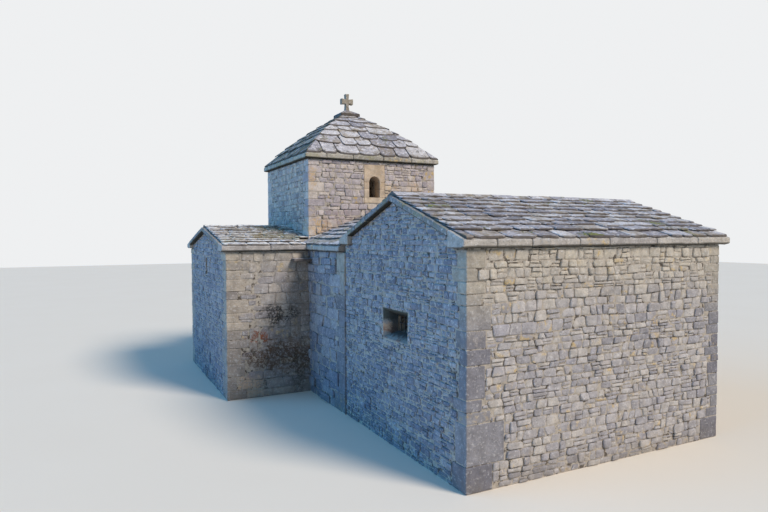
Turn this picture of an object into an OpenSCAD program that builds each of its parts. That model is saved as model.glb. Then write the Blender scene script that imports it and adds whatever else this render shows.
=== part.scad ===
// Small stone chapel: a cross-shaped church with a square tower on its crossing
// and a later hall set across the end of the front neck.
// Millimetres, +Z up. The origin is on the tower's axis at the level the walls stand on.
// Front is -Y, back is +Y, left is -X and right is +X.

/* [Tower] */
// Side of the square tower
tower_side = 3700; // [3200:50:4400]
// Thickness of the tower walls
tower_wall = 650; // [500:10:700]
// Height of the tower walls under the cornice
tower_top = 5740; // [5500:20:7500]
// Rise of the tower's roof bed from the top of its walls to its peak
tower_rise = 1590; // [1000:10:2400]
// Swell of the tower's slabs over their straight bed, half way up
tower_swell = 130; // [0:10:160]
// Height at which the crossing arches spring
crossing_spring = 2200; // [1800:10:2400]
// Side of each crossing pier
pier = 750; // [700:10:900]
// Distance from the top of the tower walls down to the springing of the dome
dome_drop = 880; // [840:10:1100]
// Reach of the dome's springing into each corner
dome_seat = 100; // [60:5:180]

/* [Side and back arms] */
// Distance from the tower's axis to the end of an arm
arm_reach = 4050; // [3700:50:5400]
// Width of the left and right arms
arm_w = 4900; // [4600:50:6000]
// Height of the arm and neck walls
arm_top = 3430; // [3200:10:3600]
// Rise of the side arms' roof bed from the top of their walls to the ridge
arm_rise = 600; // [400:10:900]
// Distance from the top of the side arms' walls down to the springing of their vaults
arm_drop = 1530; // [1430:10:1730]

/* [Neck and back arm] */
// Width of the neck and of the back arm
neck_w = 4100; // [4100:20:4300]
// Length of the neck from the tower to the hall
neck_l = 2800; // [2400:50:3600]
// Rise of the neck's roof bed from the top of its walls to the ridge
neck_rise = 970; // [770:10:1050]
// Distance from the top of the neck's walls down to the springing of its vault
neck_drop = 730; // [630:10:930]

/* [Hall] */
// Distance from the tower's axis to the hall's left face
hall_left = 2020; // [1950:10:2040]
// Length of the hall along its ridge
hall_l = 5620; // [5000:20:7200]
// Depth of the hall from front to back
hall_d = 4450; // [4000:50:5400]
// Height of the hall walls
hall_top = 3600; // [3500:10:3900]
// Rise of the hall's roof bed from the top of its walls to the ridge
hall_rise = 900; // [800:10:1600]
// Distance from the top of the hall's walls down to the springing of its vault
hall_drop = 1000; // [950:10:1300]
// Reach of the jambs between hall and neck inside the neck's walls
way_reveal = 100; // [60:10:200]

/* [Walls and floor] */
// Thickness of the walls of the hall, neck and arms
wall = 850; // [700:10:950]
// Height of the stone floor
floor_h = 300; // [150:10:400]
// Width of the ledge that each vault springs from
ledge = 100; // [60:5:150]

/* [Eaves, copings and roof slabs] */
// Height of the eaves course
band_h = 130; // [100:5:160]
// Reach of the eaves course beyond the wall
band_out = 100; // [60:5:150]
// Height of the upright face of the eaves course, above its sloping underside
band_nose = 85; // [50:5:100]
// Depth of the eaves course on the wall
band_in = 350; // [250:10:400]
// Thickness of the raking coping
coping_t = 110; // [80:5:140]
// Reach of the coping beyond its gable
coping_out = 120; // [80:5:150]
// Thickness of a roof slab at its lower edge
slab_t = 70; // [60:5:120]
// Cover left over the bed at the head of a slab
slab_head = 35; // [20:5:50]
// Reach of the lowest slabs beyond the eaves course
slab_lip = 0; // [0:5:80]
// Width of one course of slabs in plan
slab_course = 235; // [180:5:400]
// Reach of the slabs beyond the hall's right gable
verge_out = 200; // [100:10:250]

/* [Windows] */
// Width of the tower's slit window
slit_w = 310; // [240:10:360]
// Height of the tower's slit window
slit_h = 560; // [480:10:600]
// Distance from the top of the tower walls down to its sill
slit_drop = 940; // [880:10:1040]
// Width of the dressed stones each side of it
slit_jamb = 145; // [100:5:200]
// Height of the dressed stones over it
slit_head_h = 300; // [200:10:320]
// Depth of its dressed stones
slit_depth = 300; // [200:10:400]
// Reach of the dressed stones beyond the rubble
dressed_out = 15; // [0:5:30]
// Width of the slits in the arm gables
loop_w = 200; // [150:10:260]
// Height of the slits in the arm gables
loop_h = 420; // [300:10:460]
// Distance from the top of the arm walls down to their sills
loop_drop = 630; // [530:10:830]
// Width of the hall's window at the wall face
window_w = 950; // [800:10:1100]
// Height of the hall's window at the wall face
window_h = 560; // [450:10:700]
// Width of the hall's window at its bars
window_in_w = 620; // [500:10:700]
// Height of the hall's window at its bars
window_in_h = 320; // [260:10:420]
// Height of the hall's window at its middle
window_z = 2190; // [1900:10:2300]
// Depth of the splay outside the bars
splay = 220; // [150:10:300]

/* [Doorway] */
// Clear width of the doorway
door_w = 1000; // [800:10:1200]
// Height of the doorway from the floor to the crown of its arch
door_h = 2050; // [1850:10:2200]
// Width of the dressed stones round the doorway
door_jamb = 220; // [150:10:300]
// Depth of the dressed stones round the doorway
door_depth = 320; // [200:10:400]
// Depth of the lower step
step_d = 330; // [280:10:400]

/* [Cross] */
// Height of the cross above its cap
cross_h = 440; // [300:10:600]
// Span of its arms
cross_span = 370; // [280:10:520]
// Width of its shaft at the head and the foot
cross_shaft = 120; // [90:5:160]
// Height of its arms at their ends
cross_arm = 165; // [110:5:200]
// Narrowing of the shaft and the arms towards the middle, on each side
cross_waist = 20; // [0:2:30]
// Thickness of the cross
cross_t = 140; // [80:5:180]
// Side of the cap under it
cap_side = 600; // [360:20:700]
// Thickness of the cap at its rim
cap_t = 100; // [60:5:140]

/* [Drip slab] */
// Length of the slab in the inner corner, along the arm's wall
drip_l = 460; // [300:10:600]
// Reach of that slab beyond the wall
drip_out = 230; // [150:10:300]
// Thickness of that slab
drip_t = 75; // [50:5:100]
// Distance from the slab's top to the top of the wall
drip_drop = 180; // [120:10:300]

/* [Hidden] */

$fn = 64;
eps = 10; // how far a cut runs past the face it opens

rubble = "#a39d90";
dressed = "#c2a878";
slab_grey = "#8d8a83";
vault_lime = "#b9b2a2";
flags = "#7f7a70";

t_half = tower_side / 2;
t_in = t_half - tower_wall;
gap = t_half - pier;
dome_r = sqrt(2) * t_in - dome_seat;
slit_sill = tower_top - slit_drop;
loop_sill = arm_top - loop_drop;
n_half = neck_w / 2;
hall_back = t_half + neck_l;
hall_mid = -(hall_back + hall_d / 2);
hall_front = -(hall_back + hall_d);
hall_right = hall_l - hall_left;
way = n_half - wall - way_reveal;
lip_out = band_out + slab_lip;

// A block is [half width, wall top, roof bed at the ridge, springing of its vault, swell of its slabs]
SIDE = [arm_w / 2, arm_top, arm_top + arm_rise, arm_top - arm_drop, 0];
NECK = [n_half, arm_top, arm_top + neck_rise, arm_top - neck_drop, 0];
HALL = [hall_d / 2, hall_top, hall_top + hall_rise, hall_top - hall_drop, 0];
TOWER = [t_half, tower_top, tower_top + tower_rise, tower_top - dome_drop, tower_swell];

function top(b) = b[1];
function ridge(b) = b[2];
function springing(b) = b[3];
function slope(b) = (ridge(b) - top(b) - band_h) / (b[0] + band_out);
function bed(b, y) = ridge(b) - slope(b) * abs(y);
function inner(b) = b[0] - wall;
function seat(b) = b[0] - band_in;
function courses(b) = round((b[0] + lip_out) / slab_course);
// Top of the slabs, where they are t thick
function slab_top(b, y, t) = let (u = y / (b[0] + lip_out)) bed(b, y) + t + 4 * b[4] * u * (1 - u);

// Places a flat outline drawn as [across, up] and runs it along X or along Y
module along_x(x, l) {
    translate([x, 0, 0]) rotate([90, 0, 90]) linear_extrude(l) children();
}
module along_y(y, l) {
    translate([0, y + l, 0]) rotate([90, 0, 0]) linear_extrude(l) children();
}
module box(x0, x1, y0, y1, z0, z1) {
    translate([x0, y0, z0]) cube([x1 - x0, y1 - y0, z1 - z0]);
}
module mirrored_x() {
    children();
    mirror([1, 0, 0]) children();
}
module mirrored_y() {
    children();
    mirror([0, 1, 0]) children();
}

// Outlines of a gabled block, across its ridge
module gable_outline(b, cope) {
    s = seat(b);
    polygon([
        [-b[0], 0], [b[0], 0], [b[0], top(b)], [s, top(b)], [s, bed(b, s) - cope],
        [0, ridge(b) - cope], [-s, bed(b, s) - cope], [-s, top(b)], [-b[0], top(b)]
    ]);
}
module coping_outline(b) {
    s = seat(b);
    polygon([
        [-s, bed(b, s) - coping_t], [0, ridge(b) - coping_t], [s, bed(b, s) - coping_t],
        [s, bed(b, s)], [0, ridge(b)], [-s, bed(b, s)]
    ]);
}
module eaves_outline(b) {
    s = seat(b);
    e = b[0] + band_out;
    polygon([
        [s, top(b)], [b[0], top(b)], [e, top(b) + band_h - band_nose],
        [e, top(b) + band_h], [s, bed(b, s)]
    ]);
}
module bed_outline(b) {
    s = seat(b);
    polygon([[-s, top(b)], [s, top(b)], [s, bed(b, s)], [0, ridge(b)], [-s, bed(b, s)]]);
}
module vault_outline(b) {
    difference() {
        union() {
            bed_outline(b);
            translate([-inner(b), springing(b)]) square([2 * inner(b), top(b) - springing(b)]);
        }
        translate([0, springing(b)]) circle(inner(b) - ledge);
    }
}
// Each course of slabs is thick at its lower edge and runs under the next one up
function step_points(b) = let (n = courses(b), y0 = b[0] + lip_out, step = y0 / n) [
    for (i = [0:n - 2]) each [
        [y0 - i * step, slab_top(b, y0 - i * step, slab_t)],
        [y0 - (i + 1) * step, slab_top(b, y0 - (i + 1) * step, slab_head)]
    ],
    [step, slab_top(b, step, slab_t)],
    [0, slab_top(b, 0, slab_t)]
];
function far_side(points) = [for (i = [len(points) - 2:-1:0]) [-points[i][0], points[i][1]]];
// The stepped slopes over a flat foot, or over the bed where its peak is given
module stepped_outline(b, peak = []) {
    y0 = b[0] + lip_out;
    near = step_points(b);
    polygon(concat([[-y0, bed(b, y0)]], peak, [[y0, bed(b, y0)]], near, far_side(near)));
}
module slab_outline(b) { stepped_outline(b, [[0, ridge(b)]]); }
module under_slabs(b) {
    y1 = b[0] + lip_out + eps;
    polygon([[-y1, bed(b, y1)], [y1, bed(b, y1)], [0, ridge(b)]]);
}
// Everything that a block fills, up to the top of its slabs
module block_mass(b) {
    y0 = b[0] + lip_out;
    polygon([
        [-b[0], 0], [b[0], 0], [b[0], top(b)], [y0, top(b)], [y0, bed(b, y0) + slab_t],
        [0, ridge(b) + slab_t], [-y0, bed(b, y0) + slab_t], [-y0, top(b)], [-b[0], top(b)]
    ]);
}
// A round-headed opening that stands on its sill
module arch_outline(w, h) {
    translate([-w / 2, 0]) square([w, h - w / 2]);
    translate([0, h - w / 2]) circle(w / 2);
}

// Hall
module at_hall() { translate([0, hall_mid, 0]) children(); }

module hall_front_wall() {
    color(rubble) box(-hall_left + wall, hall_right - wall, hall_front, hall_front + wall, 0, hall_top);
}
module hall_back_wall() {
    color(rubble) difference() {
        box(-hall_left + wall, hall_right - wall, -hall_back - wall, -hall_back, 0, hall_top);
        along_y(-hall_back - wall - eps, wall + 2 * eps) translate([0, -eps])
            arch_outline(2 * way, springing(HALL) + eps);
    }
}
module hall_window_cut() {
    // The splay is the overlap of a tapering plan and a tapering section
    o = splay + eps;
    spread_w = (window_w - window_in_w) / 2 * eps / splay;
    spread_h = (window_h - window_in_h) / 2 * eps / splay;
    translate([-hall_left, hall_mid, window_z]) {
        intersection() {
            translate([0, 0, -window_h]) linear_extrude(2 * window_h) polygon([
                [-eps, -window_w / 2 - spread_w], [splay, -window_in_w / 2],
                [splay, window_in_w / 2], [-eps, window_w / 2 + spread_w]
            ]);
            translate([0, window_w, 0]) rotate([90, 0, 0]) linear_extrude(2 * window_w) polygon([
                [-eps, -window_h / 2 - spread_h], [splay, -window_in_h / 2],
                [splay, window_in_h / 2], [-eps, window_h / 2 + spread_h]
            ]);
        }
        translate([splay - 1, -window_in_w / 2, -window_in_h / 2]) cube([wall, window_in_w, window_in_h]);
    }
}
module hall_left_gable() {
    color(rubble) difference() {
        at_hall() along_x(-hall_left, wall) gable_outline(HALL, coping_t);
        hall_window_cut();
    }
}
module door_outline(grow) {
    arch_outline(door_w + 2 * grow, floor_h + door_h + grow);
}
module hall_right_gable() {
    color(rubble) difference() {
        at_hall() along_x(hall_right - wall, wall) gable_outline(HALL, 0);
        at_hall() along_x(hall_right - wall - eps, wall + 2 * eps) translate([0, -eps])
            arch_outline(door_w, floor_h + door_h + eps);
        at_hall() along_x(hall_right - door_depth, door_depth + eps) translate([0, -eps])
            arch_outline(door_w + 2 * door_jamb, floor_h + door_h + door_jamb + eps);
    }
}
module hall_vault() {
    color(vault_lime) at_hall() along_x(-hall_left + wall, hall_l - 2 * wall) vault_outline(HALL);
}
module hall_roof() {
    x0 = -hall_left - coping_out / 2;
    color(slab_grey) at_hall() along_x(x0, hall_right + verge_out - x0) slab_outline(HALL);
}
module hall_eaves() {
    x0 = -hall_left - coping_out;
    color(rubble) at_hall() along_x(x0, hall_right + verge_out - x0) {
        eaves_outline(HALL);
        mirror([1, 0]) eaves_outline(HALL);
    }
}
module hall_coping() {
    color(rubble) at_hall() along_x(-hall_left - coping_out, wall + coping_out) coping_outline(HALL);
}
module hall_floor() {
    color(flags) {
        box(-hall_left + wall, hall_right - wall, hall_front + wall, -hall_back - wall, 0, floor_h);
        box(-way, way, -hall_back - wall, -hall_back, 0, floor_h);
    }
}
module doorway_surround() {
    color(dressed) at_hall() along_x(hall_right - door_depth, door_depth + dressed_out) difference() {
        door_outline(door_jamb);
        translate([0, -eps]) arch_outline(door_w, floor_h + door_h + eps);
    }
}
module doorway_steps() {
    color(flags) at_hall() {
        box(hall_right - wall, hall_right - step_d, -door_w / 2, door_w / 2, 0, floor_h);
        box(hall_right - step_d, hall_right, -door_w / 2, door_w / 2, 0, floor_h / 2);
    }
}

// Neck
module hall_space() { at_hall() along_x(-hall_left - hall_l, 3 * hall_l) block_mass(HALL); }

module neck_walls() {
    color(rubble) mirrored_x() box(-n_half, -n_half + wall, -hall_back, -t_half, 0, arm_top);
}
module neck_vault() {
    color(vault_lime) difference() {
        union() {
            along_y(-hall_back, neck_l) vault_outline(NECK);
            along_y(hall_mid, hall_d / 2) bed_outline(NECK);
        }
        hall_space();
    }
}
module neck_roof() {
    color(slab_grey) difference() {
        along_y(hall_mid, -t_half - hall_mid) slab_outline(NECK);
        hall_space();
    }
}
module neck_eaves() {
    y0 = -hall_back + lip_out;
    color(rubble) mirrored_x() along_y(y0, -t_half - y0) eaves_outline(NECK);
}

// Side arms, drawn on the left
arm_in = arm_reach - wall;
// The strips beside the tower that belong to the neck and the back arm
module neck_strip(reach) {
    mirrored_y() box(-n_half - reach, 0, -arm_w, -t_half, -eps, tower_top);
}
// The slabs of the neck and the back arm where they pass the side arms
module neck_slabs() {
    mirrored_y() along_y(-arm_w, arm_w - t_half) slab_outline(NECK);
}
module loop_cut() {
    along_x(-arm_reach - eps, wall + 2 * eps) translate([-loop_w / 2, loop_sill]) square([loop_w, loop_h]);
}
module arm_gable() {
    color(rubble) difference() {
        along_x(-arm_reach, wall) gable_outline(SIDE, coping_t);
        loop_cut();
    }
}
module arm_walls() {
    color(rubble) mirrored_y() difference() {
        box(-arm_in, -t_half, -arm_w / 2, -inner(SIDE), 0, arm_top);
        box(-n_half, 0, -arm_w, -t_half, -eps, arm_top + eps);
    }
}
module arm_vault() {
    color(vault_lime) difference() {
        along_x(-arm_in, arm_in - t_half) vault_outline(SIDE);
        neck_strip(band_out);
        neck_slabs();
    }
}
module arm_roof() {
    x0 = -arm_reach - coping_out / 2;
    color(slab_grey) difference() {
        along_x(x0, -t_half - x0) slab_outline(SIDE);
        neck_strip(lip_out);
    }
}
module arm_eaves() {
    x0 = -arm_reach - coping_out;
    color(rubble) difference() {
        mirrored_y() along_x(x0, -max(n_half + band_out, t_half) - x0) eaves_outline(SIDE);
        neck_slabs();
    }
}
module arm_coping() {
    color(rubble) along_x(-arm_reach - coping_out, wall + coping_out) coping_outline(SIDE);
}
module left_arm_gable() { arm_gable(); }
module left_arm_walls() { arm_walls(); }
module left_arm_vault() { arm_vault(); }
module left_arm_roof() { arm_roof(); }
module left_arm_eaves() { arm_eaves(); }
module left_arm_coping() { arm_coping(); }
module right_arm_gable() { mirror([1, 0, 0]) arm_gable(); }
module right_arm_walls() { mirror([1, 0, 0]) arm_walls(); }
module right_arm_vault() { mirror([1, 0, 0]) arm_vault(); }
module right_arm_roof() { mirror([1, 0, 0]) arm_roof(); }
module right_arm_eaves() { mirror([1, 0, 0]) arm_eaves(); }
module right_arm_coping() { mirror([1, 0, 0]) arm_coping(); }

// Back arm
module back_arm_gable() {
    color(rubble) difference() {
        along_y(arm_in, wall) gable_outline(NECK, coping_t);
        along_y(arm_in - eps, wall + 2 * eps) translate([-loop_w / 2, loop_sill]) square([loop_w, loop_h]);
    }
}
module back_arm_walls() {
    color(rubble) mirrored_x() box(-n_half, -n_half + wall, t_half, arm_in, 0, arm_top);
}
module back_arm_vault() {
    color(vault_lime) along_y(t_half, arm_in - t_half) vault_outline(NECK);
}
module back_arm_roof() {
    color(slab_grey) along_y(t_half, arm_reach + coping_out / 2 - t_half) slab_outline(NECK);
}
module back_arm_eaves() {
    color(rubble) mirrored_x() along_y(t_half, arm_reach + coping_out - t_half) eaves_outline(NECK);
}
module back_arm_coping() {
    color(rubble) along_y(arm_in, wall + coping_out) coping_outline(NECK);
}

// Tower
module crossing_piers() {
    color(rubble) mirrored_x() mirrored_y() linear_extrude(crossing_spring) polygon([
        [-t_half, -t_half], [-gap, -t_half], [-gap, -t_in],
        [-t_in, -t_in], [-t_in, -gap], [-t_half, -gap]
    ]);
}
module crossing_arch() {
    translate([0, crossing_spring]) circle(gap);
}
// The dressed stones and their slit, as outlines that stand on the sill
module slit_outline() { translate([0, slit_sill]) arch_outline(slit_w, slit_h); }
module slit_stones() {
    w = slit_w + 2 * slit_jamb;
    translate([-w / 2, slit_sill - slit_jamb]) square([w, slit_h + slit_head_h + slit_jamb]);
}
module tower_front_wall() {
    color(rubble) difference() {
        box(-t_half, t_half, -t_half, -t_in, crossing_spring, tower_top);
        along_y(-t_half - eps, tower_wall + 2 * eps) {
            crossing_arch();
            slit_outline();
        }
        along_y(-t_half - eps, slit_depth + eps) slit_stones();
    }
}
module tower_back_wall() { mirror([0, 1, 0]) tower_front_wall(); }
module tower_left_wall() {
    color(rubble) difference() {
        box(-t_half, -t_in, -t_in, t_in, crossing_spring, tower_top);
        along_x(-t_half - eps, tower_wall + 2 * eps) crossing_arch();
    }
}
module tower_right_wall() { mirror([1, 0, 0]) tower_left_wall(); }
module tower_windows() {
    color(dressed) mirrored_y() difference() {
        along_y(-t_half - dressed_out, slit_depth + dressed_out) difference() {
            slit_stones();
            slit_outline();
        }
        along_y(-t_half - dressed_out - eps, dressed_out + eps) block_mass(NECK);
    }
}
// Four-sided roof shapes are two equal gabled shapes that cross
module crossed(reach) {
    intersection() {
        along_x(-reach, 2 * reach) children();
        along_y(-reach, 2 * reach) children();
    }
}
module tower_bed() {
    e = t_half + band_out;
    z = tower_top + band_h;
    crossed(e) polygon([
        [-t_half, tower_top], [t_half, tower_top], [e, z - band_nose],
        [e, z], [0, ridge(TOWER)], [-e, z], [-e, z - band_nose]
    ]);
}
module tower_dome() {
    s = seat(TOWER);
    color(vault_lime) difference() {
        union() {
            intersection() {
                tower_bed();
                box(-s, s, -s, s, tower_top - eps, ridge(TOWER) + eps);
            }
            box(-t_in, t_in, -t_in, t_in, springing(TOWER), tower_top + eps);
        }
        translate([0, 0, springing(TOWER)]) sphere(dome_r);
    }
}
module tower_cornice() {
    s = seat(TOWER);
    color(rubble) difference() {
        tower_bed();
        box(-s, s, -s, s, tower_top - eps, ridge(TOWER) + eps);
    }
}
module tower_roof() {
    e = t_half + lip_out;
    color(slab_grey) difference() {
        crossed(e) stepped_outline(TOWER);
        crossed(e + eps) under_slabs(TOWER);
    }
}
// The cross widens towards its head, its foot and the ends of its arms
module cross_outline() {
    s = cross_shaft / 2;
    a = cross_arm / 2;
    mid = cross_h / 2;
    side = [
        [s, -slab_t / 4], [s - cross_waist, mid - a + cross_waist], [cross_span / 2, mid - a],
        [cross_span / 2, mid + a], [s - cross_waist, mid + a - cross_waist], [s, cross_h]
    ];
    polygon(concat(side, [for (i = [len(side) - 1:-1:0]) [-side[i][0], side[i][1]]]));
}
module roof_cross() {
    h = cap_side / 2;
    rim = slab_top(TOWER, h, slab_t);
    foot = slab_top(TOWER, 0, slab_t) + cap_t * 3 / 4;
    color(rubble) {
        // The cap is hollowed under to sit on the peak of the slabs
        difference() {
            crossed(h) polygon([
                [-h, rim - cap_t], [h, rim - cap_t], [h, rim + cap_t],
                [cross_shaft, foot], [-cross_shaft, foot], [-h, rim + cap_t]
            ]);
            crossed(t_half) stepped_outline(TOWER);
        }
        translate([0, 0, foot]) along_y(-cross_t / 2, cross_t) cross_outline();
    }
}

module cross_floor() {
    color(flags) linear_extrude(floor_h) {
        translate([-n_half + wall, -hall_back]) square([2 * inner(NECK), neck_l]);
        translate([-n_half + wall, t_half]) square([2 * inner(NECK), arm_in - t_half]);
        translate([-gap, -t_half]) square([2 * gap, tower_side]);
        translate([-t_half, -gap]) square([tower_side, 2 * gap]);
        translate([-t_in, -t_in]) square([2 * t_in, 2 * t_in]);
        for (x = [-arm_in, t_half]) translate([x, -inner(SIDE)]) square([arm_in - t_half, 2 * inner(SIDE)]);
    }
}
module corner_drip_slab() {
    z1 = arm_top - drip_drop;
    color(slab_grey) box(-n_half - drip_l, -n_half, -arm_w / 2 - drip_out, -arm_w / 2, z1 - drip_t, z1);
}

hall_front_wall();
hall_back_wall();
hall_left_gable();
hall_right_gable();
hall_vault();
hall_roof();
hall_eaves();
hall_coping();
hall_floor();
doorway_surround();
doorway_steps();
neck_walls();
neck_vault();
neck_roof();
neck_eaves();
left_arm_gable();
left_arm_walls();
left_arm_vault();
left_arm_roof();
left_arm_eaves();
left_arm_coping();
right_arm_gable();
right_arm_walls();
right_arm_vault();
right_arm_roof();
right_arm_eaves();
right_arm_coping();
back_arm_gable();
back_arm_walls();
back_arm_vault();
back_arm_roof();
back_arm_eaves();
back_arm_coping();
crossing_piers();
tower_front_wall();
tower_back_wall();
tower_left_wall();
tower_right_wall();
tower_windows();
tower_dome();
tower_cornice();
tower_roof();
roof_cross();
cross_floor();
corner_drip_slab();
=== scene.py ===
"""Looks of a small stone chapel: laid rubble, quoins, roof slabs, copings and their weathering.

Metres, +Z up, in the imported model's frame. Front is -Y, back is +Y, left is -X and right is +X.
"""
import math
import random

import bpy
from mathutils import Matrix, Vector, noise


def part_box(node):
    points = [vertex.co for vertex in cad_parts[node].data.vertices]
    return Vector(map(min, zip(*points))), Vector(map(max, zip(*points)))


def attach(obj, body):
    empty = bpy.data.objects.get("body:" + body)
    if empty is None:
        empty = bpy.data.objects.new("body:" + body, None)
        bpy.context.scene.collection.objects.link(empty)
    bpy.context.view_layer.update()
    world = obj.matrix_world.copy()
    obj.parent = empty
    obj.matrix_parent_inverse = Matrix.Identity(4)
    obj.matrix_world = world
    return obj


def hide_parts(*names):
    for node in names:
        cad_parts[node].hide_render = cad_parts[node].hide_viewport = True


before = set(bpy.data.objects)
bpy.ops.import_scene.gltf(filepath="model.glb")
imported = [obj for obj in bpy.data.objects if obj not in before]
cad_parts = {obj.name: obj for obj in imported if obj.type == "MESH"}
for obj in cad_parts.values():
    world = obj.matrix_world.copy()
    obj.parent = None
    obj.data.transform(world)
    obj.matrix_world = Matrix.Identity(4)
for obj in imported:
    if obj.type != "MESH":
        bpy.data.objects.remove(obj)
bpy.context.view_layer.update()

UP = Vector((0, 0, 1))
LEFT = Vector((-1, 0, 0))
RIGHT = Vector((1, 0, 0))
FRONT = Vector((0, -1, 0))
BACK = Vector((0, 1, 0))

# Sizes of the construction that the boxes of the nodes don't give
# Eaves courses and copings
BAND_H = 0.13
BAND_OUT = 0.10
BAND_NOSE = 0.085
BAND_IN = 0.35
COPING_T = 0.11
# Roofs
SLAB_T = 0.07
LIP_OUT = 0.10
TOWER_SWELL = 0.13
CAP_T = 0.10
# Windows of the tower and slits of the arms
SLIT_W = 0.31
SLIT_H = 0.56
SLIT_SILL = 4.80
SLIT_JAMB = 0.145
SLIT_HEAD = 0.30
LOOP_W = 0.20
LOOP_H = 0.42
LOOP_SILL = 2.80
# The hall's window, at the wall's face and at its bars, and the X where its splay falls into the dark
WINDOW = (0.95, 0.56)
WINDOW_BARS = (0.62, 0.32)
WINDOW_Z = 2.19
WINDOW_DARK = -1.95
SPLAY = 0.22
# Doorway
DOOR_W = 1.0
DOOR_TOP = 2.35
DOOR_JAMB = 0.22
DRESSED_OUT = 0.015


class Block:
    """A gabled mass: half its width, the top of its walls, the ridge of its roof bed and the swell of its slabs."""

    def __init__(self, half, top, ridge, swell=0.0):
        self.half = half
        self.top = top
        self.ridge = ridge
        self.swell = swell
        self.slope = (ridge - top - BAND_H) / (half + BAND_OUT)
        self.seat = half - BAND_IN

    def bed(self, across):
        """Height of the roof bed at a distance from the ridge."""
        return self.ridge - self.slope * abs(across)

    def under_slabs(self, across):
        """Height of the underside of the slabs, which may swell over the bed."""
        share = abs(across) / (self.half + LIP_OUT)
        return self.bed(across) + 4 * self.swell * share * (1 - share)


def low(node):
    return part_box(node)[0]


def high(node):
    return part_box(node)[1]


HALL = Block((high("hall_left_gable").y - low("hall_left_gable").y) / 2, high("hall_front_wall").z,
             high("hall_vault").z)
NECK = Block(high("neck_walls").x, high("neck_walls").z, high("neck_vault").z)
SIDE = Block(high("left_arm_gable").y, high("left_arm_walls").z, high("left_arm_vault").z)
TOWER = Block(high("tower_front_wall").x, high("tower_front_wall").z, high("tower_dome").z, TOWER_SWELL)
HALL_X = (low("hall_left_gable").x, high("hall_right_gable").x)
HALL_Y = (low("hall_left_gable").y, high("hall_left_gable").y)
HALL_MID = sum(HALL_Y) / 2
ARM_END = high("right_arm_gable").x


# Shader and geometry trees, written as expressions


class Link:
    """A socket in a node tree. Arithmetic on it adds Math nodes, and out() gives the node's other sockets."""

    def __init__(self, graph, socket):
        self.graph = graph
        self.socket = socket

    def out(self, name):
        return Link(self.graph, self.socket.node.outputs[name])

    def math(self, operation, *values):
        return self.graph.add("ShaderNodeMath", {"operation": operation}, dict(enumerate(values)))

    def __add__(self, other):
        return self.math("ADD", self, other)

    def __sub__(self, other):
        return self.math("SUBTRACT", self, other)

    def __rsub__(self, other):
        return self.math("SUBTRACT", other, self)

    def __mul__(self, other):
        return self.math("MULTIPLY", self, other)

    def __truediv__(self, other):
        return self.math("DIVIDE", self, other)

    def __rtruediv__(self, other):
        return self.math("DIVIDE", other, self)

    __radd__ = __add__
    __rmul__ = __mul__

    def root(self):
        return self.math("SQRT", self)

    def at_least(self, other):
        return self.math("MAXIMUM", self, other)

    def at_most(self, other):
        return self.math("MINIMUM", self, other)

    def between(self, start, end):
        """0 below start and 1 above end, with a smooth step from one to the other."""
        settings = {"interpolation_type": "SMOOTHSTEP"}
        return self.graph.add("ShaderNodeMapRange", settings, {0: self, 1: start, 2: end})


class Graph:
    """A node tree that is filled one node at a time."""

    def __init__(self, tree):
        self.tree = tree

    def add(self, kind, settings=None, values=None, out=0):
        """Adds a node, with its settings first and then the values or links of its sockets."""
        node = self.tree.nodes.new(kind)
        for key, value in (settings or {}).items():
            if key == "stops":
                set_stops(node.color_ramp, value)
            else:
                setattr(node, key, value)
        for key, value in (values or {}).items():
            if isinstance(value, Link):
                self.tree.links.new(value.socket, node.inputs[key])
            else:
                node.inputs[key].default_value = value
        return Link(self, node.outputs[out]) if node.outputs else None

    def blend(self, factor, first, second, how="MIX"):
        """Goes from the first colour to the second as factor goes from 0 to 1."""
        settings = {"data_type": "RGBA", "blend_type": how}
        return self.add("ShaderNodeMix", settings, {0: factor, 6: first, 7: second}, out=2)


def set_stops(ramp, stops):
    while len(ramp.elements) > 1:
        ramp.elements.remove(ramp.elements[-1])
    for i, (place, colour) in enumerate(stops):
        element = ramp.elements[0] if i == 0 else ramp.elements.new(place)
        element.position = place
        element.color = colour


def tint(code):
    """A colour as a shader takes it, from the code that a colour picker shows."""
    shares = [int(code[i:i + 2], 16) / 255 for i in (1, 3, 5)]
    return tuple(s / 12.92 if s <= 0.04045 else ((s + 0.055) / 1.055) ** 2.4 for s in shares) + (1.0,)


# Finishes


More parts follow.
